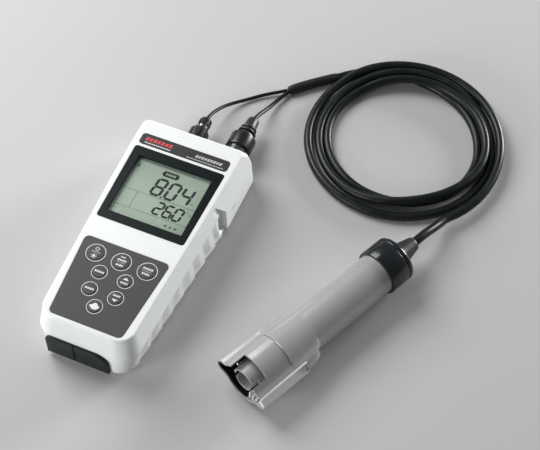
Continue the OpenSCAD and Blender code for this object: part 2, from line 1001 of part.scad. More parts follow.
module bnc_boot() {
    color(black)
    translate([bnc_x, 0, plug_z])
        along_y()
            difference() {
                rotate_extrude()
                    polygon([[0, 106.2], [5.6, 106.2], [5.9, 106.6], [5.9, 108], [5.2, 108.4],
                        [5.2, 109.2], [5.5, 109.6], [5.3, 110.8], [4.6, 111.2], [4.5, 112],
                        [4.7, 112.4], [4.4, 113.6], [3.7, 114], [3.6, 114.6], [3.8, 115],
                        [3.3, 116.6], [2.6, 117], [0, 117]]);
                translate([0, 0, 106])
                    cylinder(h = 3.05, r = 4.55);
            }
}

module round_plug() {
    color(black)
    translate([round_x, 0, plug_z])
        along_y()
            difference() {
                union() {
                    translate([0, 0, 101.4])
                        cylinder(h = 6, r = 6.3);
                    translate([0, 0, 106])
                        cylinder(h = 2, r = 7.7);
                    translate([0, 0, 107])
                        cylinder(h = 6.6, r = 6.4);
                    translate([0, 0, 113])
                        cylinder(h = 3, r = 3.4);
                }
                for (k = [0 : 5])
                    rotate([0, 0, 60 * k + 30])
                        translate([3.6, 0, 101])
                            cylinder(h = 3.2, r = 0.65, $fn = 24);
            }
}

module coupling_nut() {
    color(black)
    translate([round_x, 0, plug_z])
        along_y()
            rotate_extrude($fn = 96)
                polygon([[8, 100], [nut_r - 0.5, 100], [nut_r, 100.5], [nut_r, 110.6],
                    [nut_r - 0.6, 111.6], [nut_r - 2.2, 112.4], [nut_r - 2.2, 113.5],
                    [6.55, 113.5], [6.55, 108.2], [8, 108.2]]);
}

module round_boot() {
    color(black)
    translate([round_x, 0, plug_z])
        along_y()
            difference() {
                rotate_extrude()
                    polygon([[0, 113.7], [6, 113.7], [6.4, 114.2], [6.4, 115.4], [5.4, 115.8],
                        [5.4, 116.8], [6.3, 117.2], [6.3, 118.4], [5.3, 118.8], [5.3, 119.8],
                        [6, 120.2], [5.9, 121.4], [5, 122.4], [3.6, 129.2], [3, 130], [0, 130]]);
                translate([0, 0, 113])
                    cylinder(h = 3.1, r = 3.45);
            }
}

// ---- free cords ----

module lead_left() {
    color(black)
    swept_tube(lead_left_route, lead_left_d, 8);
}

module lead_right() {
    color(black)
    swept_tube(lead_right_route, lead_right_d, 8);
}

module cord_sleeve() {
    color(black)
    swept_tube(sleeve_route, sleeve_d, 12);
}

module cable_coil() {
    color(black)
    translate([coil_at[0], coil_at[1], 0])
        rotate_extrude($fn = 96)
            polygon([[coil_in + 2, 0], [coil_r - 2, 0], [coil_r, 3], [coil_r, coil_h - 3],
                [coil_r - 3, coil_h], [coil_in + 3, coil_h], [coil_in, coil_h - 3],
                [coil_in, 3]]);
}

module cable_tail() {
    color(black)
    swept_tube(tail_route, cable_d, 12);
}

// ---- probe ----

// cross-section across the wings
module wing_section(inset) {
    offset(r = -3)
        offset(r = 3) {
            circle(r = bulge_r - inset);
            hull()
                for (side = [-1, 1])
                    translate([side * (wing_w - 6), 0])
                        circle(r = 6 - inset, $fn = 32);
        }
}

// half width of the wings at a distance from the sensor end
function wing_plan(s) = s < 38 ? wing_w : mix(wing_w, tube_r - 0.4, (1 - cos(180 * (s - 38) / 19)) / 2);

module wings() {
    side = [for (k = [0 : 10]) let (s = 38 + 1.9 * k) [wing_plan(s), s]];
    other = [for (k = [10 : -1 : 0]) let (s = 38 + 1.9 * k) [-wing_plan(s), s]];
    intersection() {
        along_y()
            linear_extrude(57)
                wing_section(0);
        translate([0, 0, -20])
            linear_extrude(40)
                polygon(concat([[wing_w, 0]], side, other, [[-wing_w, 0]]));
    }
}

module probe_housing() {
    color(grey)
    on_probe()
        difference() {
            union() {
                wings();
                along_y()
                    rotate_extrude()
                        polygon([[0, 0], [bulge_r, 0], [bulge_r, 29], [bulge_r - 0.4, 29.2],
                            [bulge_r - 0.6, 38], [tube_r, 56], [tube_r, tube_end], [0, tube_end]]);
            }
            // hollow around the sensor
            translate([0, -1, 0])
                along_y()
                    linear_extrude(bulk_s + 1)
                        wing_section(1.8);
            // bore of the tube
            along_y()
                translate([0, 0, bulk_s - 1])
                    cylinder(h = 100, r = tube_r - 1.9);
            // notch in the top wall
            translate([-9, -1, 5])
                cube([19.5, 12, 20]);
            // side slots
            mirrored() {
                translate([16, -1, -slot_h / 2])
                    cube([12, 39, slot_h]);
                translate([16, 38, 0])
                    rotate([0, 90, 0])
                        cylinder(h = 12, r = slot_h / 2);
            }
            // drain slot at the shoulder
            translate([12, 47.5, -1.4])
                cube([10, 4.6, 2.8]);
        }
    // flow ribs inside both wings
    color(grey)
    on_probe()
        intersection() {
            for (x = [11, 14, 17])
                for (side = [-1, 1])
                    translate([side * x - 0.5, 1.5, -20])
                        cube([1, bulk_s - 1.6, 17]);
            along_y()
                linear_extrude(bulk_s + 1)
                    wing_section(1);
        }
}

module cap_ring() {
    lip = cap_s + 10.3;
    color(black)
    on_probe()
        along_y()
            rotate_extrude($fn = 96)
                polygon([[tube_r + 0.08, cap_s], [cap_r - 0.8, cap_s], [cap_r, cap_s + 0.8],
                    [cap_r, cap_s + 17], [cap_r - 1.4, cap_s + 19], [cap_r - 3, cap_s + 19.5],
                    [8.8, cap_s + 19.5], [8.8, lip], [tube_r + 0.08, lip]]);
}

module strain_relief() {
    color(black)
    on_probe()
        along_y()
            difference() {
                rotate_extrude()
                    polygon([[0, tube_end + 0.1], [tube_r - 0.2, tube_end + 0.1],
                        [tube_r - 0.2, tube_end + 3], [8.6, tube_end + 3], [8.6, 141], [8.2, 141.8],
                        [relief_tip_r + 0.2, relief_end - 1.4], [relief_tip_r - 0.5, relief_end],
                        [0, relief_end]]);
                translate([0, 0, tube_end - 1])
                    cylinder(h = 12, r = 3.3);
            }
}

module sensor_base() {
    base_r = tube_r - 1.95;
    color(charcoal)
    on_probe()
        along_y()
            difference() {
                translate([0, 0, bulk_s])
                    cylinder(h = 9, r = base_r);
                translate([0, 0, bulk_s + 3.5])
                    rotate_extrude()
                        translate([base_r - 0.9, 0])
                            square([3, 2]);
                translate([0, 0, bulk_s + 6])
                    cylinder(h = 5, r = 9);
            }
}

module sensor_seal() {
    base_r = tube_r - 1.95;
    color(black)
    on_probe()
        along_y()
            translate([0, 0, bulk_s + 4.5])
                rotate_extrude()
                    translate([base_r - 0.42, 0])
                        circle(r = 0.44, $fn = 24);
}

module sensor_cup() {
    cup_r = 8.6;
    color(grey)
    on_probe()
        difference() {
            along_y()
                translate([0, 0, 3])
                    cylinder(h = bulk_s - 3, r = cup_r);
            along_y()
                translate([0, 0, 2])
                    cylinder(h = bulk_s - 8, r = cup_r - 1.9);
            // the upper half stops short of the lower one
            translate([-10, 0, 0.8])
                cube([20, 6, 12]);
            // side windows
            translate([-10, 0, -2])
                cube([20, 12, 2.8]);
        }
}

module glass_bulb() {
    color([0.85, 0.92, 0.95, 0.6])
    on_probe()
        along_y()
            union() {
                translate([0, 0, 16])
                    sphere(r = 3.4);
                translate([0, 0, 16])
                    cylinder(h = 12, r = 2.6);
            }
}

module cell_pins() {
    color(charcoal)
    on_probe()
        for (x = [-4.6, 4.6])
            translate([x, 0, 1])
                along_y()
                    translate([0, 0, 19])
                        cylinder(h = 9, r = 1);
}

module temperature_pin() {
    color(steel)
    on_probe()
        translate([-11.8, 0, 0])
            along_y()
                union() {
                    translate([0, 0, 9])
                        cylinder(h = bulk_s - 9, r = 1.2);
                    translate([0, 0, 9])
                        sphere(r = 1.2);
                }
}

module probe_board() {
    color(green)
    on_probe()
        union() {
            translate([-8, bulk_s + 9, -0.8])
                cube([16, 66, 1.6]);
            translate([-5, bulk_s + 20, 0.8])
                cube([8, 8, 1.4]);
            translate([-5, bulk_s + 44, 0.8])
                cube([6, 12, 2.2]);
        }
}

// ---- assembly ----

front_case();
rear_case();
case_gasket();
case_screws();
rubber_feet();
header_plate();
display_bezel();
display_window();
lcd_panel();
lcd_holder();
lcd_contacts();
keypad_overlay();
key_power();
key_measure();
key_enter();
key_setup();
key_up();
key_mode();
key_down();
key_light();
key_mat();
switch_domes();
main_board();
board_chips();
bnc_socket();
round_socket();
socket_nuts();
usb_socket();
dc_jack();
port_cover_left();
port_cover_right();
battery_door();
door_seal();
door_screw();
battery_cells();
battery_contacts();
tilt_stand();
stand_pin();
bnc_collar();
bnc_plug();
bnc_boot();
round_plug();
coupling_nut();
round_boot();
lead_left();
lead_right();
cord_sleeve();
cable_coil();
cable_tail();
probe_housing();
cap_ring();
strain_relief();
sensor_cup();
sensor_base();
sensor_seal();
glass_bulb();
cell_pins();
temperature_pin();
probe_board();
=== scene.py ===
"""Visual model of a handheld water quality meter with its probe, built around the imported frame."""
import math

import bmesh
import bpy
from mathutils import Matrix, Vector


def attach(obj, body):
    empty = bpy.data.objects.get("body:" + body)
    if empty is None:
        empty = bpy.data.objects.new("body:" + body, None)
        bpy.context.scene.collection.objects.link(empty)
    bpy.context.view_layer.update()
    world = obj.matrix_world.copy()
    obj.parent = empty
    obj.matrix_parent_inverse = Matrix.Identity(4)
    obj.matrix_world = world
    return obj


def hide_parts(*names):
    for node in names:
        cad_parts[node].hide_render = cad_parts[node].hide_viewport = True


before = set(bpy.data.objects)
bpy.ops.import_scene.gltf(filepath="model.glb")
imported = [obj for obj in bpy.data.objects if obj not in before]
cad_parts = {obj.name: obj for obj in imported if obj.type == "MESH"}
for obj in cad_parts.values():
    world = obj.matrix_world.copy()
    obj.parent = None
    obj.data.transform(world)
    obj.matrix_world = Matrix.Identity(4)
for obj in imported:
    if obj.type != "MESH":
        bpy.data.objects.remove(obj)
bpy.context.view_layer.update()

MM = 0.001

# ------- helpers


def mm(x, y, z):
    return Vector((x, y, z)) * MM


def lerp(a, b, t):
    return a + (b - a) * t


def clamp(t, low=0.0, high=1.0):
    return max(low, min(high, t))


def smooth(t):
    t = clamp(t)
    return t * t * (3 - 2 * t)


def table(keys, t):
    """Straight lines through (t, value) pairs."""
    if t <= keys[0][0]:
        return keys[0][1]
    for (t0, a), (t1, b) in zip(keys, keys[1:]):
        if t <= t1:
            return lerp(a, b, (t - t0) / (t1 - t0))
    return keys[-1][1]


def catmull(points, per):
    """A smooth line through the points, with per steps between two of them."""
    out = []
    for i in range(len(points) - 1):
        p0, p1 = points[max(i - 1, 0)], points[i]
        p2, p3 = points[i + 1], points[min(i + 2, len(points) - 1)]
        for k in range(per):
            t = k / per
            out.append(0.5 * (2 * p1 + (p2 - p0) * t + (2 * p0 - 5 * p1 + 4 * p2 - p3) * t * t
                              + (3 * p1 - p0 - 3 * p2 + p3) * t ** 3))
    return out + [points[-1]]


def link(obj):
    bpy.context.scene.collection.objects.link(obj)
    return obj


def mesh_object(name, verts, faces, angle=35):
    """A new object from points in metres, smooth except over edges sharper than angle."""
    mesh = bpy.data.meshes.new(name)
    mesh.from_pydata([tuple(v) for v in verts], [], faces)
    mesh.validate()
    finish_mesh(mesh, angle)
    return link(bpy.data.objects.new(name, mesh))


def finish_mesh(mesh, angle=35):
    bm = bmesh.new()
    bm.from_mesh(mesh)
    bmesh.ops.remove_doubles(bm, verts=bm.verts, dist=1e-6)
    bmesh.ops.recalc_face_normals(bm, faces=bm.faces)
    bm.to_mesh(mesh)
    bm.free()
    mesh.shade_smooth()
    mesh.set_sharp_from_angle(angle=math.radians(angle))


# ------- materials


def node_tree(name):
    mat = bpy.data.materials.new(name)
    mat.use_nodes = True
    tree = mat.node_tree
    return mat, tree, tree.nodes["Principled BSDF"]


def noise(tree, scale, detail):
    n = tree.nodes.new("ShaderNodeTexNoise")
    n.inputs["Scale"].default_value = scale
    n.inputs["Detail"].default_value = detail
    tree.links.new(tree.nodes.new("ShaderNodeTexCoord").outputs["Object"], n.inputs["Vector"])
    return n.outputs["Fac"]


def ranged(tree, value, low, high):
    """Spreads the middle of a noise, 0.3 to 0.7, over low to high."""
    n = tree.nodes.new("ShaderNodeMapRange")
    n.inputs["From Min"].default_value = 0.3
    n.inputs["From Max"].default_value = 0.7
    n.inputs["To Min"].default_value = low
    n.inputs["To Max"].default_value = high
    tree.links.new(value, n.inputs["Value"])
    return n.outputs["Result"]


def mixed(tree, factor, a, b):
    """A colour between a and b."""
    n = tree.nodes.new("ShaderNodeMix")
    n.data_type = "RGBA"
    tree.links.new(factor, n.inputs[0])
    n.inputs[6].default_value = (*a, 1)
    n.inputs[7].default_value = (*b, 1)
    return n.outputs[2]


def bump(tree, height, strength, distance):
    n = tree.nodes.new("ShaderNodeBump")
    n.inputs["Strength"].default_value = strength
    n.inputs["Distance"].default_value = distance
    tree.links.new(height, n.inputs["Height"])
    return n.outputs["Normal"]


def moulded(name, colour, rough=0.4, spread=0.06, shade=0.06, grain=0.35, depth=0.03,
            metallic=0.0, specular=0.5, coat=0.0, blotch=9.0):
    """A moulded or plated surface: soft blotches in colour and gloss, and a fine grain.

    spread is how far the gloss varies and shade how far the colour does. grain and blotch are
    the sizes of the grain and the blotches, and depth is the grain's height, in millimetres.
    """
    mat, tree, bsdf = node_tree(name)
    soft = noise(tree, 1000 / blotch, 4)
    fine = noise(tree, 1000 / grain, 2)
    dark = [c * (1 - shade) for c in colour]
    light = [min(1, c * (1 + shade)) for c in colour]
    tree.links.new(mixed(tree, ranged(tree, soft, 0, 1), dark, light), bsdf.inputs["Base Color"])
    tree.links.new(ranged(tree, soft, rough - spread, rough + spread), bsdf.inputs["Roughness"])
    tree.links.new(bump(tree, fine, 0.6, depth * MM), bsdf.inputs["Normal"])
    bsdf.inputs["Metallic"].default_value = metallic
    bsdf.inputs["Specular IOR Level"].default_value = specular
    bsdf.inputs["IOR"].default_value = 1.5
    bsdf.inputs["Coat Weight"].default_value = coat
    bsdf.inputs["Coat Roughness"].default_value = 0.12
    return mat


def glassy(name, colour, alpha, rough):
    """A clear surface that lets most of what is behind it through."""
    mat, tree, bsdf = node_tree(name)
    soft = noise(tree, 60, 2)
    tree.links.new(mixed(tree, ranged(tree, soft, 0, 1), [c * 0.96 for c in colour], colour),
                   bsdf.inputs["Base Color"])
    tree.links.new(ranged(tree, soft, rough * 0.8, rough * 1.2), bsdf.inputs["Roughness"])
    bsdf.inputs["Alpha"].default_value = alpha
    return mat


M = {
    "case": moulded("case_white_plastic", (0.83, 0.85, 0.845), 0.34, 0.05, 0.012, 0.3, 0.006),
    "seal": moulded("seal_rubber", (0.02, 0.02, 0.02), 0.7),
    "steel": moulded("steel_bright", (0.62, 0.63, 0.64), 0.28, 0.08, 0.05, 0.2, 0.01, 1.0),
    "nickel": moulded("nickel_plate", (0.66, 0.66, 0.65), 0.2, 0.07, 0.06, 0.3, 0.006, 1.0),
    "rubber": moulded("cover_rubber", (0.0105, 0.0145, 0.0155), 0.5, 0.06, 0.15, 0.25, 0.015,
                      specular=0.3),
    "header": moulded("header_print", (0.03, 0.03, 0.031), 0.38, 0.04, 0.05, 0.4, 0.004,
                      specular=0.25),
    "bezel": moulded("bezel_print", (0.004, 0.0085, 0.009), 0.3, 0.03, 0.05, 0.5, 0.003,
                     specular=0.1),
    "window": glassy("window_clear", (0.3, 0.33, 0.32), 0.05, 0.06),
    "holder": moulded("holder_plastic", (0.7, 0.7, 0.68), 0.5),
    "keypad": moulded("keypad_film", (0.068, 0.068, 0.07), 0.42, 0.04, 0.05, 0.25, 0.012,
                      specular=0.2),
    "mat": moulded("key_mat_silicone", (0.5, 0.5, 0.48), 0.6),
    "board": moulded("board_mask", (0.02, 0.13, 0.06), 0.35, 0.05, 0.2, 1.2, 0.01),
    "chip": moulded("chip_plastic", (0.03, 0.03, 0.03), 0.55),
    "plug": moulded("plug_plastic", (0.008, 0.009, 0.01), 0.3, 0.06, 0.15, 0.3, 0.008,
                    specular=0.4),
    "cell": moulded("cell_wrap", (0.45, 0.3, 0.06), 0.3, 0.05, 0.1),
    "cable": moulded("cable_jacket", (0.008, 0.0105, 0.0115), 0.34, 0.06, 0.2, 0.35, 0.015,
                     specular=0.3),
    "sleeve": moulded("sleeve_shrink", (0.012, 0.0135, 0.0145), 0.45, 0.06, 0.2, 0.6, 0.02,
                      specular=0.3),
    "probe": moulded("probe_grey_plastic", (0.37, 0.37, 0.375), 0.27, 0.012, 0.006, 0.3, 0.002,
                     specular=0.6, coat=0.5),
    "ring": moulded("ring_gloss_plastic", (0.011, 0.014, 0.016), 0.2, 0.05, 0.1, 0.5, 0.004),
    "relief": moulded("relief_rubber", (0.02, 0.022, 0.024), 0.4, 0.06, 0.15, 0.3, 0.01),
    "base": moulded("base_plastic", (0.035, 0.035, 0.036), 0.45),
    "bulb": glassy("bulb_glass", (0.8, 0.92, 0.95), 0.35, 0.06),
    "graphite": moulded("pin_graphite", (0.03, 0.03, 0.03), 0.45),
    "dark_metal": moulded("dark_plating", (0.11, 0.115, 0.12), 0.24, 0.07, 0.06, 0.3, 0.006, 0.9),
    "gloss": moulded("nut_gloss_plastic", (0.01, 0.011, 0.012), 0.3, 0.05, 0.1, 0.4, 0.004),
    "cup": moulded("cup_plastic", (0.4, 0.4, 0.405), 0.3, 0.05, 0.04, 0.3, 0.006),
    "pale": moulded("pale_plastic", (0.78, 0.79, 0.78), 0.35, 0.04, 0.03, 0.3, 0.006),
    # painted shade: a near-black matt colour for a sheet inside the probe's cavity, where the
    # housing's own grey plastic lies in shade
    "shade": moulded("painted_shade_matt_plastic", (0.004, 0.006, 0.006), 0.6, 0.05, 0.1, 0.3, 0.006,
                     specular=0.15),
    "lcd": moulded("lcd_reflector", (0.33, 0.43, 0.335), 0.5, 0.04, 0.03, 0.35, 0.001, blotch=40),
    "ink": moulded("lcd_segment", (0.004, 0.005, 0.005), 0.5, 0.04, 0.1, 0.4, 0.002,
                   specular=0.1),
    "faint": moulded("lcd_segment_faint", (0.06, 0.08, 0.07), 0.5, 0.04, 0.1, 0.4, 0.002),
    "white_print": moulded("white_print", (0.78, 0.79, 0.79), 0.45, 0.04, 0.03, 0.3, 0.003),
    "red_print": moulded("red_print", (0.62, 0.035, 0.04), 0.42, 0.04, 0.06, 0.3, 0.003),
    "grey_print": moulded("grey_print", (0.5, 0.5, 0.5), 0.45, 0.04, 0.05, 0.3, 0.003),
    # painted highlight: a lighter colour for a strip along the pane's top edge, standing in for the
    # light that edge catches
    "pane_edge": moulded("pane_edge_painted_highlight", (0.22, 0.27, 0.26), 0.25, 0.04, 0.05, 0.5, 0.002),
}

# the materials of the frame's own nodes, where no visual piece replaces them
NODE_MATERIALS = {
    "case": "battery_door tilt_stand",
    "seal": "case_gasket lcd_contacts door_seal sensor_seal",
    "steel": "case_screws switch_domes usb_socket battery_contacts stand_pin door_screw",
    "nickel": "socket_nuts bnc_plug temperature_pin",
    "rubber": "rubber_feet",
    "holder": "lcd_holder",
    "mat": "key_mat",
    "board": "main_board probe_board",
    "chip": "board_chips",
    "plug": "dc_jack round_plug",
    "cell": "battery_cells",
    "base": "sensor_base",
    "bulb": "glass_bulb",
    "graphite": "cell_pins",
}
for key, names in NODE_MATERIALS.items():
    for name in names.split():
        node = bpy.data.objects[name]
        node.data.materials.clear()
        node.data.materials.append(M[key])


def place(obj, body, material, slot, *nodes):
    """Gives a piece its body and material, and hides the frame nodes it stands for. slot is not
    used.
    """
    if not obj.data.materials:
        obj.data.materials.append(material)
    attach(obj, body)
    if nodes:
        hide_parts(*nodes)


# ------- camera, floor and light

CAM_AZIMUTH, CAM_ELEVATION, CAM_ROLL = map(math.radians, (22.709, 55.861, 0.366))
CAM_TARGET, CAM_DISTANCE = mm(67.265, 58.413, 0), 901.117 * MM
SENSOR_W, LENS = 36, 86.67
FLOOR_REACH = 6


def add_camera():
    back = Vector((math.sin(CAM_AZIMUTH) * math.cos(CAM_ELEVATION),
                   -math.cos(CAM_AZIMUTH) * math.cos(CAM_ELEVATION), math.sin(CAM_ELEVATION)))
    right0 = Vector((math.cos(CAM_AZIMUTH), math.sin(CAM_AZIMUTH), 0))
    up0 = back.cross(right0)
    right = right0 * math.cos(CAM_ROLL) + up0 * math.sin(CAM_ROLL)
    up = up0 * math.cos(CAM_ROLL) - right0 * math.sin(CAM_ROLL)
    data = bpy.data.cameras.new("camera")
    data.sensor_width, data.lens = SENSOR_W, LENS
    cam = link(bpy.data.objects.new("camera", data))
    turn = Matrix((right, up, back)).transposed().to_4x4()
    cam.matrix_world = Matrix.Translation(CAM_TARGET + back * CAM_DISTANCE) @ turn
    bpy.context.scene.camera = cam


def area_light(name, place_at, look_at, size, power):
    data = bpy.data.lights.new(name, "AREA")
    data.shape, data.size, data.energy = "SQUARE", size, power
    lamp = link(bpy.data.objects.new(name, data))
    lamp.location = place_at
    lamp.rotation_mode = "QUATERNION"
    lamp.rotation_quaternion = (Vector(look_at) - Vector(place_at)).to_track_quat("-Z", "Y")


def add_studio():
    r = FLOOR_REACH
    floor = mesh_object("studio_floor", [(-r, -r, 0), (r, -r, 0), (r, r, 0), (-r, r, 0)],
                        [(0, 1, 2, 3)])
    floor.data.materials.append(moulded("floor_paper", (0.52, 0.52, 0.52), 0.65, 0.04, 0.02,
                                        3, 0.02, blotch=400))
    world = bpy.data.worlds.new("studio_world")
    bpy.context.scene.world = world
    bpy.context.scene.view_settings.view_transform = "Standard"
    world.use_nodes = True
    world.node_tree.nodes["Background"].inputs["Color"].default_value = (0.97, 0.985, 1, 1)
    world.node_tree.nodes["Background"].inputs["Strength"].default_value = 0.15
    area_light("key_softbox", (-0.78, 0.4, 0.85), (0.05, 0.05, 0), 0.8, 14.5)
    area_light("side_softbox", (0.85, 1.3, 0.26), (0.05, 0.0, 0.02), 0.5, 25)
    area_light("fill_softbox", (-0.8, -1.15, 0.36), (0.05, 0.0, 0), 0.6, 15)


add_camera()
add_studio()

# ------- cords

LEAD_LEFT_ROUTE = [
    (-6.8, 117, 13), (-6.7, 121, 12.4), (-6.1, 126, 11), (-4.6, 132, 9), (-2.2, 138.5, 6.6),
    (1.6, 145, 4.4), (6.4, 151, 2.8), (11.6, 156.4, 2.2), (17, 161.4, 2.2), (23.4, 166.2, 2.5),
    (28.4, 169.4, 3), (33, 172.4, 3.6)]
LEAD_RIGHT_ROUTE = [
    (24.4, 130, 13), (24.7, 134, 12), (25.4, 140, 9.6), (26.5, 146, 7), (27.8, 152, 5),
    (29.2, 158, 3.8), (31.1, 164, 3.4), (34.2, 171.2, 3.6)]
SLEEVE_ROUTE = [
    (33.5, 171.7, 3.6), (41, 179.6, 3.6), (49.2, 187.2, 3.6), (56.6, 193.6, 3.6),
    (63.2, 199, 3.6)]
TAIL_ROUTE = [
    (166.22, 72.8, 16.5), (168.2, 77.6, 16.3), (170.8, 84.6, 14.9), (173.7, 92.4, 12),
    (176, 99, 9.6), (178.2, 105.4, 8.2)]
LEAD_LEFT_D, LEAD_RIGHT_D, CABLE_D, SLEEVE_D = 2.6, 3.0, 6.2, 7.2
COIL_X, COIL_Y = 128.1, 160.5
COIL_STEP = 5

# the winding, from the sleeve to the tail: angle round the coil, radius, height of the centreline
WINDING = [
    (149.3, 75.4, 3.5), (135, 71, 3.3), (120, 64.9, 3.3), (105, 60.8, 3.3), (90, 57.5, 3.3),
    (70, 55, 3.3), (45, 53.8, 3.3), (20, 53.6, 3.3), (0, 54.4, 3.3), (-30, 54.8, 3.3),
    (-60, 53.6, 3.3), (-90, 52.9, 3.3), (-135, 53.6, 3.3), (-180, 55.2, 3.3), (-215, 55.4, 4.4),
    (-235, 55.2, 7.6), (-255, 55, 9.3), (-275, 55.4, 9.3), (-300, 56.7, 8.6), (-325, 58.5, 7.8),
    (-360, 58.9, 8.0), (-395, 56.1, 9.3), (-420, 55.4, 9.3), (-445, 57.3, 7.9), (-470, 59.2, 4.6),
    (-500, 60.2, 3.3), (-540, 61.2, 3.3), (-570, 61.6, 4.6), (-590, 61.6, 7.6), (-610, 61.6, 9.3),
    (-640, 61.8, 9.3), (-665, 62.5, 7.0), (-690, 63.5, 4.2), (-720, 64.5, 3.3), (-765, 64.9, 3.3),
    (-810, 66.2, 3.3), (-860, 68.1, 3.3), (-900, 68.9, 3.3), (-925, 68.7, 5.6), (-945, 68.3, 8.6),
    (-965, 68, 9.3), (-1000, 67.8, 9.3), (-1040, 68.7, 8.6), (-1080, 70, 7.4), (-1105, 72.1, 7.2),
    (-1127.7, 74.4, 8.0)]


def route(points, per=4):
    """A smooth line in metres through points in millimetres."""
    return catmull([mm(*p) for p in points], per)


def winding_line():
    """Points along the winding, COIL_STEP degrees apart, smooth in radius and height."""
    keys = [Vector((a, r, z)) for a, r, z in WINDING]
    fine = catmull(keys, 12)
    out, angle, i = [], fine[0][0], 0
    while angle >= fine[-1][0]:
        while i < len(fine) - 2 and fine[i + 1][0] > angle:
            i += 1
        t = (angle - fine[i][0]) / (fine[i + 1][0] - fine[i][0])
        r, z = lerp(fine[i][1], fine[i + 1][1], t), lerp(fine[i][2], fine[i + 1][2], t)
        a = math.radians(angle)
        out.append(mm(COIL_X + r * math.cos(a), COIL_Y + r * math.sin(a), z))
        angle -= COIL_STEP
    return out


def tube(name, line, diameter, bevel=8):
    """A round cord along a line in metres; its diameter is in millimetres."""
    data = bpy.data.curves.new(name, "CURVE")
    data.dimensions = "3D"
    spline = data.splines.new("POLY")
    spline.points.add(len(line) - 1)
    for point, at in zip(spline.points, line):
        point.co = (*at, 1)
    data.bevel_depth, data.bevel_resolution = diameter * MM / 2, bevel
    data.use_fill_caps = True
    return link(bpy.data.objects.new(name, data))


def ring_frame(line, i):
    """Sideways and upwards across the line at its point i."""
    a, b = line[max(i - 1, 0)], line[min(i + 1, len(line) - 1)]
    t = (b - a).normalized()
    side = t.cross(Vector((0, 0, 1))).normalized()
    return side, side.cross(t)


def loft(rings):
    """Points and faces of a closed skin through rings of equal length."""
    n = len(rings[0])
    verts = [p for ring in rings for p in ring]
    faces = [(i * n + k, i * n + (k + 1) % n, (i + 1) * n + (k + 1) % n, (i + 1) * n + k)
             for i in range(len(rings) - 1) for k in range(n)]
    faces += [tuple(range(n - 1, -1, -1)), tuple(range(len(verts) - n, len(verts)))]
    return verts, faces


def add_lead(name, points, diameter, node):
    line = route(points)
    lead = tube(name, line, diameter, 6)
    place(lead, "meter", M["cable"], "cable", node)


def add_cable():
    """The shrink sleeve, and the cable that runs from it through the coil to the probe."""
    sleeve_line = route(SLEEVE_ROUTE, 6)
    start, end = [0.1, 2.9, 3.25, 3.5], [3.5, 3.35, 0.1]
    middle = len(sleeve_line) - len(start) - len(end)
    radii = start + [SLEEVE_D / 2] * middle + end
    rings = []
    for i, p in enumerate(sleeve_line):
        side, up = ring_frame(sleeve_line, i)
        rings.append([p + (side * math.cos(a) + up * math.sin(a)) * radii[i] * MM
                      for a in (k * math.tau / 32 for k in range(32))])
    sleeve = mesh_object("shrink_sleeve", *loft(rings), 50)
    place(sleeve, "meter", M["sleeve"], "sleeve", "cord_sleeve")

    cable_line = route(TAIL_ROUTE)[:-1] + winding_line()[::-1] + route(SLEEVE_ROUTE)[::-1][1:-2]
    cable = tube("probe_cable", cable_line, CABLE_D)
    place(cable, "meter", M["cable"], "cable", "cable_coil", "cable_tail")


add_lead("lead_bayonet", LEAD_LEFT_ROUTE, LEAD_LEFT_D, "lead_left")
add_lead("lead_round", LEAD_RIGHT_ROUTE, LEAD_RIGHT_D, "lead_right")
add_cable()

# ------- boolean tools

CUT, ADD = "DIFFERENCE", "UNION"


def solid(parts, angle=35):
    """An unlinked mesh from (points, faces) parts."""
    verts, faces = [], []
    for v, f in parts:
        faces += [tuple(i + len(verts) for i in face) for face in f]
        verts += v
    mesh = bpy.data.meshes.new("cutter")
    mesh.from_pydata([tuple(v) for v in verts], [], faces)
    finish_mesh(mesh, angle)
    return mesh


def combine(obj, steps, angle=35):
    """Applies booleans, (CUT or ADD, parts) each, then sets the edges and the normals.

    The parts of one step stay clear of each other.
    """
    scrap = []
    for operation, parts in steps:
        cutter = link(bpy.data.objects.new("cutter", solid(parts)))
        scrap.append(cutter)
        mod = obj.modifiers.new("cut", "BOOLEAN")
        mod.operation, mod.object, mod.solver = operation, cutter, "EXACT"
    settle(obj)
    for cutter in scrap:
        mesh = cutter.data
        bpy.data.objects.remove(cutter)
        bpy.data.meshes.remove(mesh)
    finish_mesh(obj.data, angle)
    obj.modifiers.new("weight", "WEIGHTED_NORMAL").keep_sharp = True
    settle(obj)


def settle(obj):
    """Applies the object's modifiers."""
    graph = bpy.context.evaluated_depsgraph_get()
    graph.update()
    mesh = bpy.data.meshes.new_from_object(obj.evaluated_get(graph))
    old = obj.data
    obj.modifiers.clear()
    obj.data = mesh
    mesh.name = obj.name
    bpy.data.meshes.remove(old)


def block(x0, y0, z0, x1, y1, z1):
    return prism([(x0, y0), (x1, y0), (x1, y1), (x0, y1)], z0, z1)


def prism(outline, z0, z1):
    """A straight prism over an outline given anticlockwise in millimetres."""
    return loft([[mm(x, y, z) for x, y in outline] for z in (z0, z1)])


def circle(x, y, r, sides=40):
    return [(x + r * math.cos(k * math.tau / sides), y + r * math.sin(k * math.tau / sides))
            for k in range(sides)]


def disc(x, y, r, z0, z1, sides=48):
    return prism(circle(x, y, r, sides), z0, z1)


def rod_x(x0, x1, y, z, r, sides=48):
    return loft([[mm(x, v, w) for v, w in circle(y, z, r, sides)] for x in (x0, x1)])


def rod_y(x, z, r, y0, y1, sides=48):
    return loft([[mm(u, y, w) for u, w in circle(x, z, r, sides)] for y in (y1, y0)])


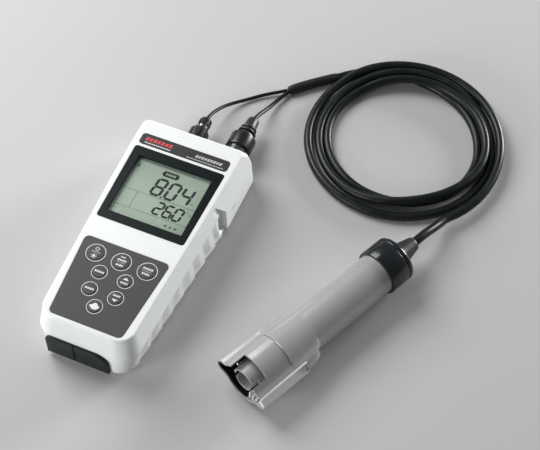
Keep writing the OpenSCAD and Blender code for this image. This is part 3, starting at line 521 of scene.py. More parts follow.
def rounded(corners, radii, steps=8):
    """Corner points given anticlockwise, each rounded to its radius."""
    out, n = [], len(corners)
    for i, (x, y) in enumerate(corners):
        p = Vector((x, y))
        a = (Vector(corners[i - 1]) - p).normalized()
        b = (Vector(corners[(i + 1) % n]) - p).normalized()
        r = radii[i] if isinstance(radii, (list, tuple)) else radii
        half = math.acos(clamp(a.dot(b), -1, 1)) / 2
        reach = r / math.tan(half)
        centre = p + (a + b).normalized() * (r / math.sin(half))
        start, end = p + a * reach - centre, p + b * reach - centre
        turn = start.angle_signed(end)
        for k in range(steps + 1):
            t = -turn * k / steps
            out.append((centre.x + start.x * math.cos(t) - start.y * math.sin(t),
                        centre.y + start.x * math.sin(t) + start.y * math.cos(t)))
    return out


def trapezoid(w_top, y_top, w_bot, y_bot, r, steps=8):
    return rounded([(w_bot, y_bot), (w_top, y_top), (-w_top, y_top), (-w_bot, y_bot)], r, steps)


# ------- meter case

CASE_H, PART_Z, SKIN_Z, FOOT_H, FLOOR_Z = 38, 21, 35.6, 1, 3.6
# where the round edges of the top and the bottom start
EDGE_TOP, EDGE_BOT = 35.4, 3.7
END_TOP, END_BOT = 90, -88
GRIP_Y = 48
# z, half width at GRIP_Y, half width at the tail, y of the tail, tail corner radius
GRIP = [(1, 39.8, 29.5, -85.5, 11), (3.7, 42.5, 32.6, -88, 13), (21, 38.8, 35.5, -88, 14),
        (35.4, 38.1, 33, -84.3, 12.5), (38, 36.2, 31.2, -82.6, 11)]
# z, half width, y of the head's end, end corner radius
HEAD = [(1, 39.8, 87.3, 4), (3.7, 42.5, 90, 5), (21, 41, 90, 3.8), (30, 39.4, 88.2, 3.8),
        (35.4, 38.4, 84.4, 4.4), (38, 36.6, 82.2, 5)]
# z, y of the step between the grip and the wider head
STEP_Y = [(1, 42.5), (6, 42), (20, 44.1), (33.6, 35.6), (38, 34)]
# the scoops in each side: how many, y where the first one starts, their pitch, and where
# the side is sampled over one pitch
FLUTES, FLUTE_TOP, FLUTE_PITCH = 8, 40.4, 14.4
FLUTE_STEPS = (0.0, 0.015, 0.03, 0.05, 0.07, 0.12, 0.2, 0.3, 0.4, 0.5, 0.6, 0.66, 0.8, 0.94)


def column(rows, i, z):
    """Column i of rows at height z."""
    return table([(row[0], row[i]) for row in rows], z)


def flute_depth(y, z, flare):
    """How far the lower half's side is cut back: a row of scoops between flat ribs.

    Each scoop is crisp at its tail side and along its rim, and stops over the lower edge.
    flare is how far the side stands out from the parting line.
    """
    t = (FLUTE_TOP - y) / FLUTE_PITCH
    if z > PART_Z - 0.3 or t >= FLUTES:
        return 0
    along = 1 - max(t, 0) / FLUTES
    cell = 1 - t % 1
    profile = smooth(cell / 0.06) if cell < 0.06 else clamp(1 - (cell - 0.06) / 0.6) ** 1.25
    if t < 1:
        profile = max(profile, smooth(1.1 - 1.9 * t))
    rim = 20.6 - 3.5 * cell ** 3 * (t >= 1)
    fade = clamp((rim - z) / 1.1) ** 0.5 * lerp(lerp(0.5, 0.3, along), 1, smooth((z - 4.2) / 2.4))
    return (max(0, flare) + lerp(1.9, 1.5, along)) * profile * fade


def half_outline(zv, z):
    """Points of the case's right side, from the middle of the tail to the middle of the head.

    zv is the height whose sizes it takes, and z the height where it lies: they differ only in
    the round edges. blend turns the step into a long taper towards the top.
    """
    grip_w, tail_w, tail_y, tail_r = (column(GRIP, i, zv) for i in range(1, 5))
    head_w, head_y, head_r = (column(HEAD, i, zv) for i in range(1, 4))
    step = table(STEP_Y, zv)
    flat, y0 = tail_w - tail_r, tail_y + tail_r
    pts = [(flat * k / 7, tail_y) for k in range(7)]
    pts += [(flat + tail_r * math.cos(a), y0 + tail_r * math.sin(a))
            for a in (math.radians(-90 + 90 * k / 16) for k in range(17))]
    ys = []
    for i in range(FLUTES):
        base = FLUTE_TOP - (FLUTES - i) * FLUTE_PITCH
        ys += [base + FLUTE_PITCH * f for f in FLUTE_STEPS]
    reach, free = max(step, FLUTE_TOP + 1), FLUTE_TOP - FLUTE_PITCH
    ys += [lerp(FLUTE_TOP, reach, k / 5) for k in range(6)]
    ys = [y if y < free else lerp(free, step, (y - free) / (reach - free)) for y in ys]
    ys = [max(y, y0 + 0.01 * k) for k, y in enumerate(ys, 1)]
    dip = 0.8 * smooth((z - PART_Z + 1) / 2) * smooth((34.5 - zv) / 4)
    at_part_grip, at_part_tail = column(GRIP, 1, PART_Z), column(GRIP, 2, PART_Z)
    for y in ys:
        t = (y - y0) / (GRIP_Y - y0)
        side = lerp(tail_w, grip_w, t)
        flare = side - lerp(at_part_tail, at_part_grip, t)
        cut = flute_depth(y, z, flare) + dip * smooth((y - step + 8) / 6)
        pts.append((side - cut, y))
    blend = smooth((zv - 24) / 9.6)
    start = lerp(tail_w, grip_w, (step - y0) / (GRIP_Y - y0))
    for k in range(14):
        y = lerp(step, head_y - head_r, k / 13)
        near = lerp(start, head_w, smooth((y - step) / 34))
        pts.append((lerp(head_w, near, blend), y + (0.02 if k == 0 else 0)))
    pts += [(head_w - head_r + head_r * math.cos(a), head_y - head_r + head_r * math.sin(a))
            for a in (math.radians(90 * k / 14) for k in range(1, 15))]
    pts += [((head_w - head_r) * (1 - k / 7), head_y) for k in range(1, 8)]
    return pts


def case_ring(zv, z):
    """The whole outline, anticlockwise from above."""
    right = half_outline(zv, z)
    left = [(-x, y) for x, y in right[-2:0:-1]]
    return [mm(x, y, z) for x, y in right + left]


def case_loft(low, high):
    """The outside of the case between two heights, with its round top or bottom edge."""
    rings = []
    if low < EDGE_BOT:
        for k in range(6, 0, -1):
            u, r = k / 6 * math.pi / 2, EDGE_BOT - low
            rings.append(case_ring(EDGE_BOT - r * (1 - math.cos(u)), EDGE_BOT - r * math.sin(u)))
    bottom, top = max(low, EDGE_BOT), min(high, EDGE_TOP)
    steps = max(2, round((top - bottom) / 0.7))
    rings += [case_ring(z, z) for z in (lerp(bottom, top, k / steps) for k in range(steps + 1))]
    if high > EDGE_TOP:
        for k in range(1, 8):
            u, r = k / 7 * math.pi / 2, high - EDGE_TOP
            rings.append(case_ring(EDGE_TOP + r * (1 - math.cos(u)), EDGE_TOP + r * math.sin(u)))
    return loft(rings)


def hollow(z0, z1):
    """The space inside the case."""
    rows = [(z0, 35.8, 87, 30.5, -85, 10), (PART_Z, 36.2, 87, 32.9, -85, 11),
            (z1, 35.4, 81, 30.1, -81.6, 9)]
    return loft([[mm(x, y, z) for x, y in trapezoid(wt, yt, wb, yb, [r, 3, 3, r])]
                 for z, wt, yt, wb, yb, r in rows])


# plates in the face: half width and y at the head's side, half width and y at the tail's
BEZEL = (33.5, 60, 31.7, -2.8)
HEADER = (33, 71.6, 33, 62.4)
KEYPAD = (30.6, -19.3, 25.6, -80.5)
SEAT_GAP = 0.14
GLASS_W, GLASS_BOT, GLASS_TOP = 27, 4, 52.5
BIG_R, SMALL_R = 5.9, 4.5
KEYS = {"key_power": (-18, -29.8, BIG_R), "key_measure": (0.5, -29.8, BIG_R),
        "key_enter": (19, -29.8, BIG_R), "key_setup": (-9.1, -42.1, SMALL_R),
        "key_up": (9.4, -42.1, SMALL_R), "key_mode": (-9.1, -55.7, SMALL_R),
        "key_down": (9.4, -55.7, SMALL_R), "key_light": (-0.2, -66.2, SMALL_R)}
BNC_X, ROUND_X, PLUG_Z = -6.8, 24.4, 13
USB_X, JACK_X, PORT_Z = -16, 6.5, 11
BOSSES = [(x * s, y) for x, y in ((32, 72), (31, -8), (27.5, -77.5)) for s in (-1, 1)]
FEET = [(34, 60), (-34, 60), (15, -78), (-15, -78), (0, 0)]
BOX_W, BOX_Y0, BOX_Y1, BOX_TOP = 23.2, -67.5, -14.5, 15.2
STAND_W, STAND_Y0, PIN_Y, PIN_Z = 19, 20, 70, 3.5


def grown(shape, by):
    """A plate's shape, wider by that much all round."""
    wt, yt, wb, yb = shape
    return wt + by, yt + by, wb + by, yb - by


def add_front():
    front = mesh_object("case_front_shell", *case_loft(PART_Z + 0.06, CASE_H))
    seats = [prism(trapezoid(*grown(shape, SEAT_GAP), r), CASE_H - depth, CASE_H + 7)
             for shape, r, depth in ((BEZEL, 2.1, 1), (HEADER, 2.5, 0.6), (KEYPAD, 3.5, 0.7))]
    through = [block(-GLASS_W - 2.2, GLASS_BOT - 2.2, 34, GLASS_W + 2.2, GLASS_TOP + 2.2, 44)]
    through += [disc(x, y, r + 0.4, 34, 44) for x, y, r in KEYS.values()]
    combine(front, [(CUT, [hollow(PART_Z - 1, SKIN_Z)]), (CUT, seats), (CUT, through)])
    place(front, "meter", M["case"], "case", "front_case")


def add_rear():
    rear = mesh_object("case_rear_shell", *case_loft(FOOT_H, PART_Z))
    inside = [block(-BOX_W - 1.6, BOX_Y0 - 1.6, 2.6, BOX_W + 1.6, BOX_Y1 + 1.6, BOX_TOP + 1.6),
              disc(0, BOX_Y1 + 5.4, 3.6, 2.6, 10.6),
              block(-STAND_W - 4.6, STAND_Y0 - 2.4, 2.6, STAND_W + 4.6, PIN_Y + 5.2, 7.6)]
    inside += [disc(x, y, 3.4, 2.6, PART_Z - 0.9) for x, y in BOSSES[2:]]
    sockets = [rod_y(x, PLUG_Z, 6.3, END_TOP - 6, END_TOP + 4) for x in (BNC_X, ROUND_X)]
    sockets += [block(USB_X - 6.5, END_BOT - 1, PORT_Z - 4.2,
                      USB_X + 6.5, END_BOT + 4, PORT_Z + 4.2),
                rod_y(JACK_X, PORT_Z, 5.2, END_BOT - 1, END_BOT + 4)]
    # two short grooves in the head's right side
    sockets += [block(41.05, 51.4, z, 46, 57.4, z + 0.6) for z in (12.0, 13.3)]
    bays = [block(-BOX_W, BOX_Y0, -1, BOX_W, BOX_Y1, BOX_TOP),
            block(-STAND_W - 0.4, STAND_Y0 - 0.6, -1, STAND_W + 0.4, PIN_Y + 3, 6.4)]
    door = [prism(trapezoid(26.3, BOX_Y1 + 9.1, 26.3, BOX_Y0 - 4.1, 3), -1, 4.1),
            rod_x(-STAND_W - 3.2, STAND_W + 3.2, PIN_Y, PIN_Z, 1.23)]
    holes = [disc(0, BOX_Y1 + 5, 1.6, -1, 9.6)]
    holes += [disc(x, y, 2.8, -1, 4.4) for x, y in BOSSES]
    holes += [disc(x, y, 3.6, -1, 1.6) for x, y in FEET]
    combine(rear, [(CUT, [hollow(FLOOR_Z, SKIN_Z)]), (ADD, inside), (CUT, sockets), (CUT, bays),
                   (CUT, door), (CUT, holes)])
    place(rear, "meter", M["case"], "case", "rear_case")


add_front()
add_rear()

# ------- display

PANE_Z, PANE_TOP, LCD_Z = 35.6, 36.9, 35.4
PANE_W, PANE_Y0, PANE_Y1 = 29, 2, 54.5


def slab(outline_of, z0, z1, edge=0.18):
    """A plate with a round upper edge; outline_of(inset) gives its outline."""
    rings = [(0, z0), (0, z1 - edge), (edge * 0.3, z1 - edge * 0.3), (edge, z1),
             (edge * 2.5, z1)]
    return loft([[mm(x, y, z) for x, y in outline_of(inset)] for inset, z in rings])


def plate(name, shape, radius, z0, z1):
    return mesh_object(name, *slab(lambda i: trapezoid(*grown(shape, -i), max(radius - i, 0.2)),
                                   z0, z1))


def decals(name, outlines, z, material, slot, thick=0.03, body="meter", lift=0):
    """Thin printed marks on the height z, as one mesh; each lies lift above the one before."""
    parts = [prism(outline, z + lift * k, z + lift * k + thick)
             for k, outline in enumerate(outlines)]
    place(link(bpy.data.objects.new(name, solid(parts))), body, material, slot)


def bar(x, y, w, h, lean=0.0):
    """A rectangle round its centre; lean moves its top to the right."""
    return [(x - w / 2 - lean / 2, y - h / 2), (x + w / 2 - lean / 2, y - h / 2),
            (x + w / 2 + lean / 2, y + h / 2), (x - w / 2 + lean / 2, y + h / 2)]


def word(x, y, w, h, blocks, lean=0.2):
    """A row of plain blocks in the place of a printed word."""
    pitch = w / blocks
    return [bar(x - w / 2 + pitch * (k + 0.5), y, pitch * 0.7, h * (0.86 if k % 2 else 1), lean)
            for k in range(blocks)]


def arc_band(x, y, r0, r1, start, end, steps=40):
    """A band between two radii, from one angle to another in degrees."""
    angles = [math.radians(lerp(start, end, k / steps)) for k in range(steps + 1)]
    outer = [(x + r1 * math.cos(a), y + r1 * math.sin(a)) for a in angles]
    return outer + [(x + r0 * math.cos(a), y + r0 * math.sin(a)) for a in reversed(angles)]


SEGMENTS = {"0": "abcdef", "2": "abged", "4": "fgbc", "6": "afgedc", "8": "abcdefg"}


def digit(char, x, y, w, h, t, lean):
    """Seven-segment strokes of one digit; x, y is the lower left corner."""
    g, half, r = 0.12, h / 2, t / 2
    lower, upper = (0, half), (half, h)

    def across(v):
        return [(g, v), (g + r, v - r), (w - g - r, v - r), (w - g, v), (w - g - r, v + r),
                (g + r, v + r)]

    def upright(u, span):
        a, b = span
        return [(u, a + g), (u + r, a + g + r), (u + r, b - g - r), (u, b - g),
                (u - r, b - g - r), (u - r, a + g + r)]

    shapes = {"a": across(h), "g": across(half), "d": across(0), "b": upright(w, upper),
              "c": upright(w, lower), "e": upright(0, lower), "f": upright(0, upper)}
    return [[(x + u + lean * v / h, y + v) for u, v in shapes[s]] for s in SEGMENTS[char]]


def add_display():
    bezel = plate("display_frame", BEZEL, 2, CASE_H - 1, CASE_H + 0.25)
    opening = trapezoid(GLASS_W, GLASS_TOP, GLASS_W, GLASS_BOT, 0.5, 3)
    mid = (GLASS_BOT + GLASS_TOP) / 2
    flare = [loft([[mm(x * s, (y - mid) * t + mid, z) for x, y in opening]
                   for s, t, z in ((1, 1, 36), (1, 1, 37.85), (1.012, 1.014, 38.4),
                                   (1.02, 1.02, 39))])]
    combine(bezel, [(CUT, flare)])
    place(bezel, "meter", M["bezel"], "bezel", "display_bezel")
    pane = mesh_object("display_pane", *slab(
        lambda i: trapezoid(PANE_W - i, PANE_Y1 - i, PANE_W - i, PANE_Y0 + i, 0.6, 3),
        PANE_Z, PANE_TOP, 0.1))
    place(pane, "meter", M["window"], "window", "display_window")
    # a thin opaque strip on the pane's top edge that paints the highlight there
    edge = mesh_object("display_pane_edge_highlight", *block(
        -GLASS_W + 3, GLASS_TOP - 0.62, PANE_TOP + 0.01,
        GLASS_W - 0.1, GLASS_TOP - 0.4, PANE_TOP + 0.08))
    place(edge, "meter", M["pane_edge"], "window")
    panel = mesh_object("lcd_glass", *block(-28.6, 2.4, 33.2, 28.6, 54.1, LCD_Z))
    place(panel, "meter", M["lcd"], "lcd", "lcd_panel")


# digits and their left sides, the row's foot, and each digit's width, height, stroke and lean
READINGS = [("804", (-7.9, 2.2, 12.2), 28.4, 6.5, 13.4, 1.9, 1.5),
            ("260", (0.1, 7.2, 14.2), 14.4, 5.1, 9.7, 1.65, 1.1)]


def add_lcd_marks():
    """The readings with their points, the lines between the fields, and small signs."""
    marks = []
    for digits, xs, *sizes in READINGS:
        for char, x in zip(digits, xs):
            marks += digit(char, x, *sizes)
    marks += [bar(0.5, 28.0, 1.3, 1.3, 0.2), bar(13.1, 14.0, 1.1, 1.1, 0.2)]
    marks += [bar(0, 26.6, 2 * GLASS_W, 0.24), bar(0, 12.5, 2 * GLASS_W, 0.24),
              bar(-15.6, 19.5, 0.28, 13.9)]
    marks += [[(x - 1.1, 8.9), (x, 7.3), (x + 1.1, 8.9)][::-1] for x in (13.2, 16.8, 20.3)]
    marks.append(rounded([(5.2, 44.7), (5.2, 49.3), (-6.9, 49.3), (-6.9, 44.7)], 2.2, 8))
    decals("lcd_marks", marks, LCD_Z + 0.01, M["ink"], "lcd")
    faint = [bar(-24.6, 46.6, 1.5, 2.6), bar(-24.6, 48.2, 0.7, 0.4), bar(21.6, 30.6, 0.5, 1.3, 0.2),
             bar(22.5, 30.6, 0.5, 1.3, 0.2), arc_band(22.6, 23.6, 0.3, 0.6, 0, 350, 12),
             bar(24.5, 22.5, 1.6, 0.45), bar(24.5, 21.3, 1.6, 0.45)]
    decals("lcd_small_marks", faint, LCD_Z + 0.01, M["faint"], "lcd")
    decals("lcd_pill_blocks", word(-0.9, 47, 7.6, 1.9, 5), LCD_Z + 0.05, M["lcd"], "lcd")


def add_header():
    header = plate("header_panel", HEADER, 2.4, CASE_H - 0.6, CASE_H + 0.15)
    place(header, "meter", M["header"], "header", "header_plate")
    marks = {"red": word(-19.4, 67.5, 20.4, 3.1, 7, 0.5),
             "white": word(-19.2, 64.3, 19.6, 0.85, 12, 0.1),
             "grey": word(18.2, 67.0, 20, 2.3, 9, 0.7) + word(16.5, 64.0, 27.6, 0.8, 19, 0.1)}
    for ink, blocks in marks.items():
        decals(f"header_{ink}_marks", blocks, CASE_H + 0.155, M[f"{ink}_print"], "header")


# ------- keypad

PAD_TOP = CASE_H + 0.3
KEY_TOP = CASE_H + 0.84


def key_marks():
    """Printed marks of each key, as outlines round the key's centre."""

    def triangle(y, w, h):
        return [(-w / 2, y - h / 2), (w / 2, y - h / 2), (0, y + h / 2)][::1 if h > 0 else -1]

    lamp = [circle(0, -2.9, 0.95, 20)]
    for k in range(8):
        a = math.radians(45 * k)
        c, s = math.cos(a), math.sin(a)
        lamp.append([(c * u - s * v, -2.9 + s * u + c * v)
                     for u, v in ((1.3, -0.2), (2.0, -0.2), (2.0, 0.2), (1.3, 0.2))])
    cloud = [circle(-1.5, -0.5, 1.35, 24), circle(1.6, -0.4, 1.45, 24), circle(0.1, 0.7, 1.7, 24),
             circle(-0.6, -1.3, 1.1, 24), circle(0.9, -1.4, 1.1, 24), bar(-2.9, -0.2, 0.9, 0.9),
             bar(3.0, 0.1, 0.9, 0.9)]
    return {
        "key_power": [arc_band(0, 2.9, 1.05, 1.45, 125, 415), bar(0, 3.9, 0.36, 1.5),
                      bar(0, 0.3, 6.2, 0.3)] + lamp,
        "key_measure": word(-0.2, 3.5, 3.4, 1.0, 3) + word(0, 1.0, 6.4, 1.5, 4)
                       + [bar(0, -0.75, 5.8, 0.22)] + word(0, -2.9, 5.2, 1.5, 4),
        "key_enter": word(0, 1.6, 7.2, 1.5, 5) + [bar(0, -0.35, 6.6, 0.22)]
                     + word(0, -2.4, 5.6, 1.5, 4),
        "key_setup": word(0, 0, 6.8, 1.5, 5),
        "key_up": [triangle(1.6, 4.2, 1.9)] + word(0, -1.7, 5.2, 1.4, 4),
        "key_mode": word(0, 0, 6.4, 1.5, 4),
        "key_down": word(0, 1.7, 5.2, 1.4, 4) + [triangle(-1.9, 4.2, -1.9)],
        "key_light": cloud,
    }


def add_keypad():
    film = plate("keypad_film", KEYPAD, 3.4, CASE_H - 0.7, PAD_TOP)
    combine(film, [(CUT, [disc(x, y, r + 0.2, 36, 40) for x, y, r in KEYS.values()])])
    place(film, "meter", M["keypad"], "keypad", "keypad_overlay")
    rings = [arc_band(x, y, r + 0.42, r + 0.88, 0, 359.99, 72) for x, y, r in KEYS.values()]
    decals("key_outlines", rings, PAD_TOP + 0.002, M["white_print"], "keypad", 0.02)
    marks = key_marks()
    for name, (x, y, r) in KEYS.items():
        profile = [(0, 34), (2.5, 34), (2.5, 34.5), (r + 1, 34.5), (r + 1, 35.3), (r, 35.3),
                   (r, 38.36), (r - 0.05, 38.55), (r - 0.18, 38.7), (r - 0.4, 38.79),
                   (r - 0.8, 38.83), (r * 0.5, KEY_TOP + 0.005), (0, KEY_TOP + 0.01)]
        cap = mesh_object(name + "_cap", *turned(profile, 64), 50)
        cap.data.transform(Matrix.Translation(mm(x, y, 0)))
        place(cap, name, M["keypad"], "key", name)
        prints = [[(x + u, y + v) for u, v in outline] for outline in marks[name]]
        decals(name + "_print", prints, KEY_TOP + 0.012, M["white_print"], "key", 0.02, name,
               lift=0.002)


def turned(profile, sides=64):
    """Points and faces of a profile of (radius, height) turned round the vertical."""
    rings, verts, faces = [], [], []
    for r, z in profile:
        if r == 0:
            rings.append([len(verts)])
            verts.append(mm(0, 0, z))
        else:
            rings.append(list(range(len(verts), len(verts) + sides)))
            verts += [mm(r * math.cos(k * math.tau / sides), r * math.sin(k * math.tau / sides), z)
                      for k in range(sides)]
    for a, b in zip(rings, rings[1:]):
        for k in range(sides):
            j = (k + 1) % sides
            face = [a[k % len(a)], a[j % len(a)], b[j % len(b)], b[k % len(b)]]
            faces.append(tuple(dict.fromkeys(face)))
    return verts, faces


add_display()
add_lcd_marks()
add_header()
add_keypad()

# ------- plugs and sockets

STUDS = 7


def along_y(x, z, profile, sides=64):
    """A profile of (radius, y) turned round a line along y."""
    verts, faces = turned(profile, sides)
    turn = Matrix.Translation(mm(x, 0, z)) @ Matrix.Rotation(-math.pi / 2, 4, "X")
    return [turn @ v for v in verts], faces


def studs_round(y0, first, length, r, size):
    """Raised studs round the bayonet plug's boot at radius r, the first one turned by an angle."""
    parts = []
    for k in range(STUDS):
        a = math.tau * k / STUDS + first
        c, s = math.cos(a), math.sin(a)
        rows = []
        for y, grow in ((y0, 0.6), (y0 + length * 0.25, 1), (y0 + length * 0.75, 1),
                        (y0 + length, 0.6)):
            w, h = size * grow, r + 0.42 * grow
            rows.append([mm(BNC_X + c * u - s * v, y, PLUG_Z + s * u + c * v)
                         for u, v in ((r - 0.5, -w), (h, -w * 0.7), (h, w * 0.7), (r - 0.5, w))])
        parts.append(loft(rows))
    return parts


def plug_piece(name, x, profile, sides=64, angle=30):
    """A piece turned round a plug's axis, from a profile of (radius, y)."""
    return mesh_object(name, *along_y(x, PLUG_Z, profile, sides), angle)


def add_bayonet_plug():
    flange = plug_piece("bayonet_socket_shell", BNC_X, [
        (0, 79), (4, 79), (4, 83.8), (6.2, 83.8), (6.2, 90), (7.6, 90.02), (7.6, 91), (7.4, 91.2),
        (4.8, 91.2), (4.8, 99.2), (4.6, 99.5), (4.15, 99.5), (4.15, 92), (2.2, 92), (2.2, 98.8),
        (0.75, 98.8), (0.75, 93), (0, 93)])
    place(flange, "meter", M["dark_metal"], "nickel", "bnc_socket")
    collar = plug_piece("bayonet_collar_sleeve", BNC_X, [
        (5.75, 91.6), (6.75, 91.6), (7.05, 91.75), (7.2, 92.1), (7.2, 95.9), (7.05, 96.2),
        (6.6, 96.5), (6.6, 97.4), (7.05, 97.8), (7.2, 98.1), (7.2, 103.8), (7, 104.2),
        (6.4, 104.6), (4.7, 104.6), (4.7, 103.2), (5.75, 103.2), (5.75, 91.6)])
    grooves = [rod_y(x, z, 0.85, 98.6, 105, 10) for x, z in circle(BNC_X, PLUG_Z, 7.75, 18)]
    combine(collar, [(CUT, grooves)], 30)
    place(collar, "bnc_collar", M["plug"], "plug", "bnc_collar")
    boot = plug_piece("bayonet_boot", BNC_X, [
        (0, 102.5), (4.4, 102.5), (4.4, 105), (5.1, 105.2), (5.3, 105.6), (5.2, 106.6),
        (4.4, 107), (4.2, 111), (4.1, 115), (3.8, 116.2), (3.3, 116.7), (2.5, 117),
        (0, 117)], angle=40)
    studs = (studs_round(107.3, 0.2, 2, 4.4, 1.1) + studs_round(110.4, 0.65, 2, 4.3, 1.1)
             + studs_round(113.5, 0.2, 1.9, 4.2, 1))
    combine(boot, [(ADD, studs)], 40)
    place(boot, "meter", M["sleeve"], "boot", "bnc_boot")


def add_round_plug():
    barrel = plug_piece("round_socket_barrel", ROUND_X, [
        (0, 80), (5, 80), (5, 83.8), (6.2, 83.8), (6.2, 90), (8.5, 90.02), (8.7, 90.2),
        (8.7, 91.4), (8.5, 91.6), (7.9, 91.62), (7.9, 93.6), (7.5, 93.9), (7.5, 94.5), (7.9, 94.8),
        (7.9, 96.3), (7.5, 96.6), (7.5, 97.2), (7.9, 97.5), (7.9, 105.3), (7.6, 105.6),
        (6.5, 105.6), (6.5, 101), (0, 101)])
    place(barrel, "meter", M["dark_metal"], "nickel", "round_socket")
    nut = plug_piece("coupling_nut_sleeve", ROUND_X, [
        (8, 100), (8.9, 100), (9.25, 100.1), (9.38, 100.4), (9.38, 101.6), (9.2, 101.8),
        (9.2, 102.2), (9.38, 102.4), (9.38, 111), (9.3, 111.35), (9.05, 111.6), (8.7, 111.7),
        (6.55, 111.7), (6.55, 108.2), (8, 108.2), (8, 100)], 96)
    place(nut, "coupling_nut", M["gloss"], "plug", "coupling_nut")
    tail = plug_piece("round_boot_body", ROUND_X, [
        (0, 109), (5, 109), (5, 112), (6.3, 112.1), (6.7, 112.4), (6.8, 112.8), (6.8, 113.8),
        (6.5, 114.3), (5.2, 114.5), (4.9, 115.1), (5.2, 115.7), (6.4, 115.9), (6.7, 116.3),
        (6.7, 117.3), (6.4, 117.7), (5, 117.9), (4.7, 118.5), (4.9, 119.1), (5.8, 119.3),
        (6, 119.7), (5.9, 120.6), (5.3, 121.4), (4.7, 123), (4.4, 128.2), (4, 129.4), (3.2, 130),
        (0, 130)], angle=40)
    place(tail, "meter", M["relief"], "boot", "round_boot")


# ------- port covers

COVER_LOW, COVER_TOP, COVER_Y, COVER_D = 3.4, 21.4, -88.1, 2.2
MARK_DEPTH = 0.3


def cover_outline(x0, x1, radii, inset):
    """Front outline of a cover in (x, z), from its lower right corner up and round."""
    low, top = COVER_LOW + inset, COVER_TOP - inset
    left, right = x0 + inset, x1 - inset
    return rounded([(right, low), (right, top), (left, top), (left, low)],
                   [max(r - inset, 0.25) for r in radii], 12)


def add_cover(name, x0, x1, radii, plug, node):
    """A flap with a round front edge, its hinge roll along the bottom and its plug inside."""
    rows = [(0.05, 0), (0, 0.15), (0, 1.3), (0.12, 1.75), (0.35, 2.02), (0.7, 2.15),
            (1.1, COVER_D)]
    skin = mesh_object(name, *loft([[mm(x, COVER_Y - depth, z)
                                     for x, z in cover_outline(x0, x1, radii, inset)]
                                    for inset, depth in rows]), 40)
    roll = rod_x(x0 + 0.05, x1 - 0.05, COVER_Y - COVER_D / 2, COVER_LOW, COVER_D / 2, 24)
    front = COVER_Y - COVER_D
    grooves = [loft([[mm(x, y, z) for x, z in outline] for y in (front + MARK_DEPTH, front - 0.15)])
               for outline in engraved((x0 + x1) / 2)]
    combine(skin, [(ADD, [roll]), (ADD, [plug]), (CUT, grooves)], 40)
    place(skin, node, M["rubber"], "rubber", node)


def engraved(mid):
    """Shallow marks in the front of a cover: a ring, and a bar with three short strokes."""
    marks = [arc_band(mid - 3.6, 14.6, 1.15, 1.5, 20, 340, 20)]
    marks += [bar(mid + 1.6, 14.6, 3.4, 0.34)]
    marks += [bar(mid - 4.4 + 1.5 * k, 9.4, 0.34, 1.7) for k in range(3)]
    marks += [bar(mid + 2.2, 9.4, 2.6, 0.34)]
    return marks


def add_covers():
    usb_plug = block(USB_X - 4.5, -89, PORT_Z - 2, USB_X + 4.5, -86.4, PORT_Z + 2)
    add_cover("left_cover_flap", -26, -5.65, [0.5, 0.5, 4, 0.5], usb_plug, "port_cover_left")
    jack_plug = rod_y(JACK_X, PORT_Z, 3.4, -89, -86.4, 32)
    add_cover("right_cover_flap", -5.35, 18.5, [0.5, 9, 0.5, 0.5], jack_plug, "port_cover_right")


# ------- probe

PROBE = Matrix.Translation(mm(101.6, -70.3, 16.5)) @ Matrix.Rotation(math.radians(-24.3), 4, "Z")
WING_R, BORE_R, WALL = 6.4, 12.6, 1.4
# along the housing: half width across the wings, radius of the round body above and below
WING_PLAN = [(-2, 22.2), (0, 22.2), (20, 21.8), (40, 21.2), (46, 20.6), (49, 19.8), (51, 18.8),
             (53, 17.3), (55, 15.9), (57, 15), (60, 14.6), (66, 14.5), (130, 14.5)]
TOP_PLAN = [(-2, 15.9), (0, 15.9), (30.95, 15.9), (31.25, 16.3), (38, 15.8), (46, 15.1),
            (56, 14.5), (130, 14.5)]
UNDER_PLAN = [(-2, 14.3), (0, 14.3), (40, 14.3), (56, 14.5), (130, 14.5)]
SEAM_S = 31
CAVITY_END = 35
# the slot in each wing, by side: its lower edge, half height and start; and where both end
SLOT_PLACES = {1: (-1.9, 4.0, -1), -1: (-6.1, 2.9, 6)}
SLOT_END = 38.5
RIB_XS, RIB_W = (7, 10, 13, 16), 1


def on_probe(part):
    """Moves a part from the probe's own axes, with y along it from its open end, to its place."""
    verts, faces = part
    return [PROBE @ v for v in verts], faces


def cut_probe(obj, *groups, angle=32):
    """Takes groups of parts, given in the probe's own axes, away from a piece."""
    combine(obj, [(CUT, [on_probe(part) for part in group]) for group in groups], angle)


def wing_ring(s, inset, sides=160):
    """Cross-section of the housing at s: a round body that runs into two flat wings.

    power sets how tightly the body and the wings blend.
    """
    ring, power = [], 7
    tip = table(WING_PLAN, s) - inset
    high, low = (table(plan, s) - inset for plan in (TOP_PLAN, UNDER_PLAN))
    edge = min(WING_R - inset, tip)
    flat = tip - edge
    for k in range(sides):
        a = k * math.tau / sides
        c, d = abs(math.cos(a)), abs(math.sin(a))
        if d > 1e-6 and edge / d * c <= flat:
            reach = edge / d
        else:
            reach = flat * c + math.sqrt(max(edge * edge - (flat * d) ** 2, 0))
        body = lerp(high, low, smooth(clamp(0.5 - 1.5 * math.sin(a))))
        r = (body ** power + (reach * clamp((tip - high) / 2)) ** power) ** (1 / power)
        ring.append(mm(r * math.cos(a), s, r * math.sin(a)))
    return ring[::-1]


def probe_cavity(inset, start, end):
    """The space inside the flared end, a wall's thickness in from its outside."""
    return loft([wing_ring(s, inset, 96) for s in (start, 10, 20, end)])


def slot_cutter(side, low, r, start):
    """A slot through a wing's wall, round at its far end."""
    turns = [math.pi * k / 12 for k in range(13)]
    outline = [(start, low)] + [(SLOT_END - r + r * math.sin(a), low + r - r * math.cos(a))
                                for a in turns] + [(start, low + 2 * r)]
    if side < 0:
        outline.reverse()
    return loft([[mm(x, s, z) for s, z in outline] for x in (15 * side, 28 * side)])


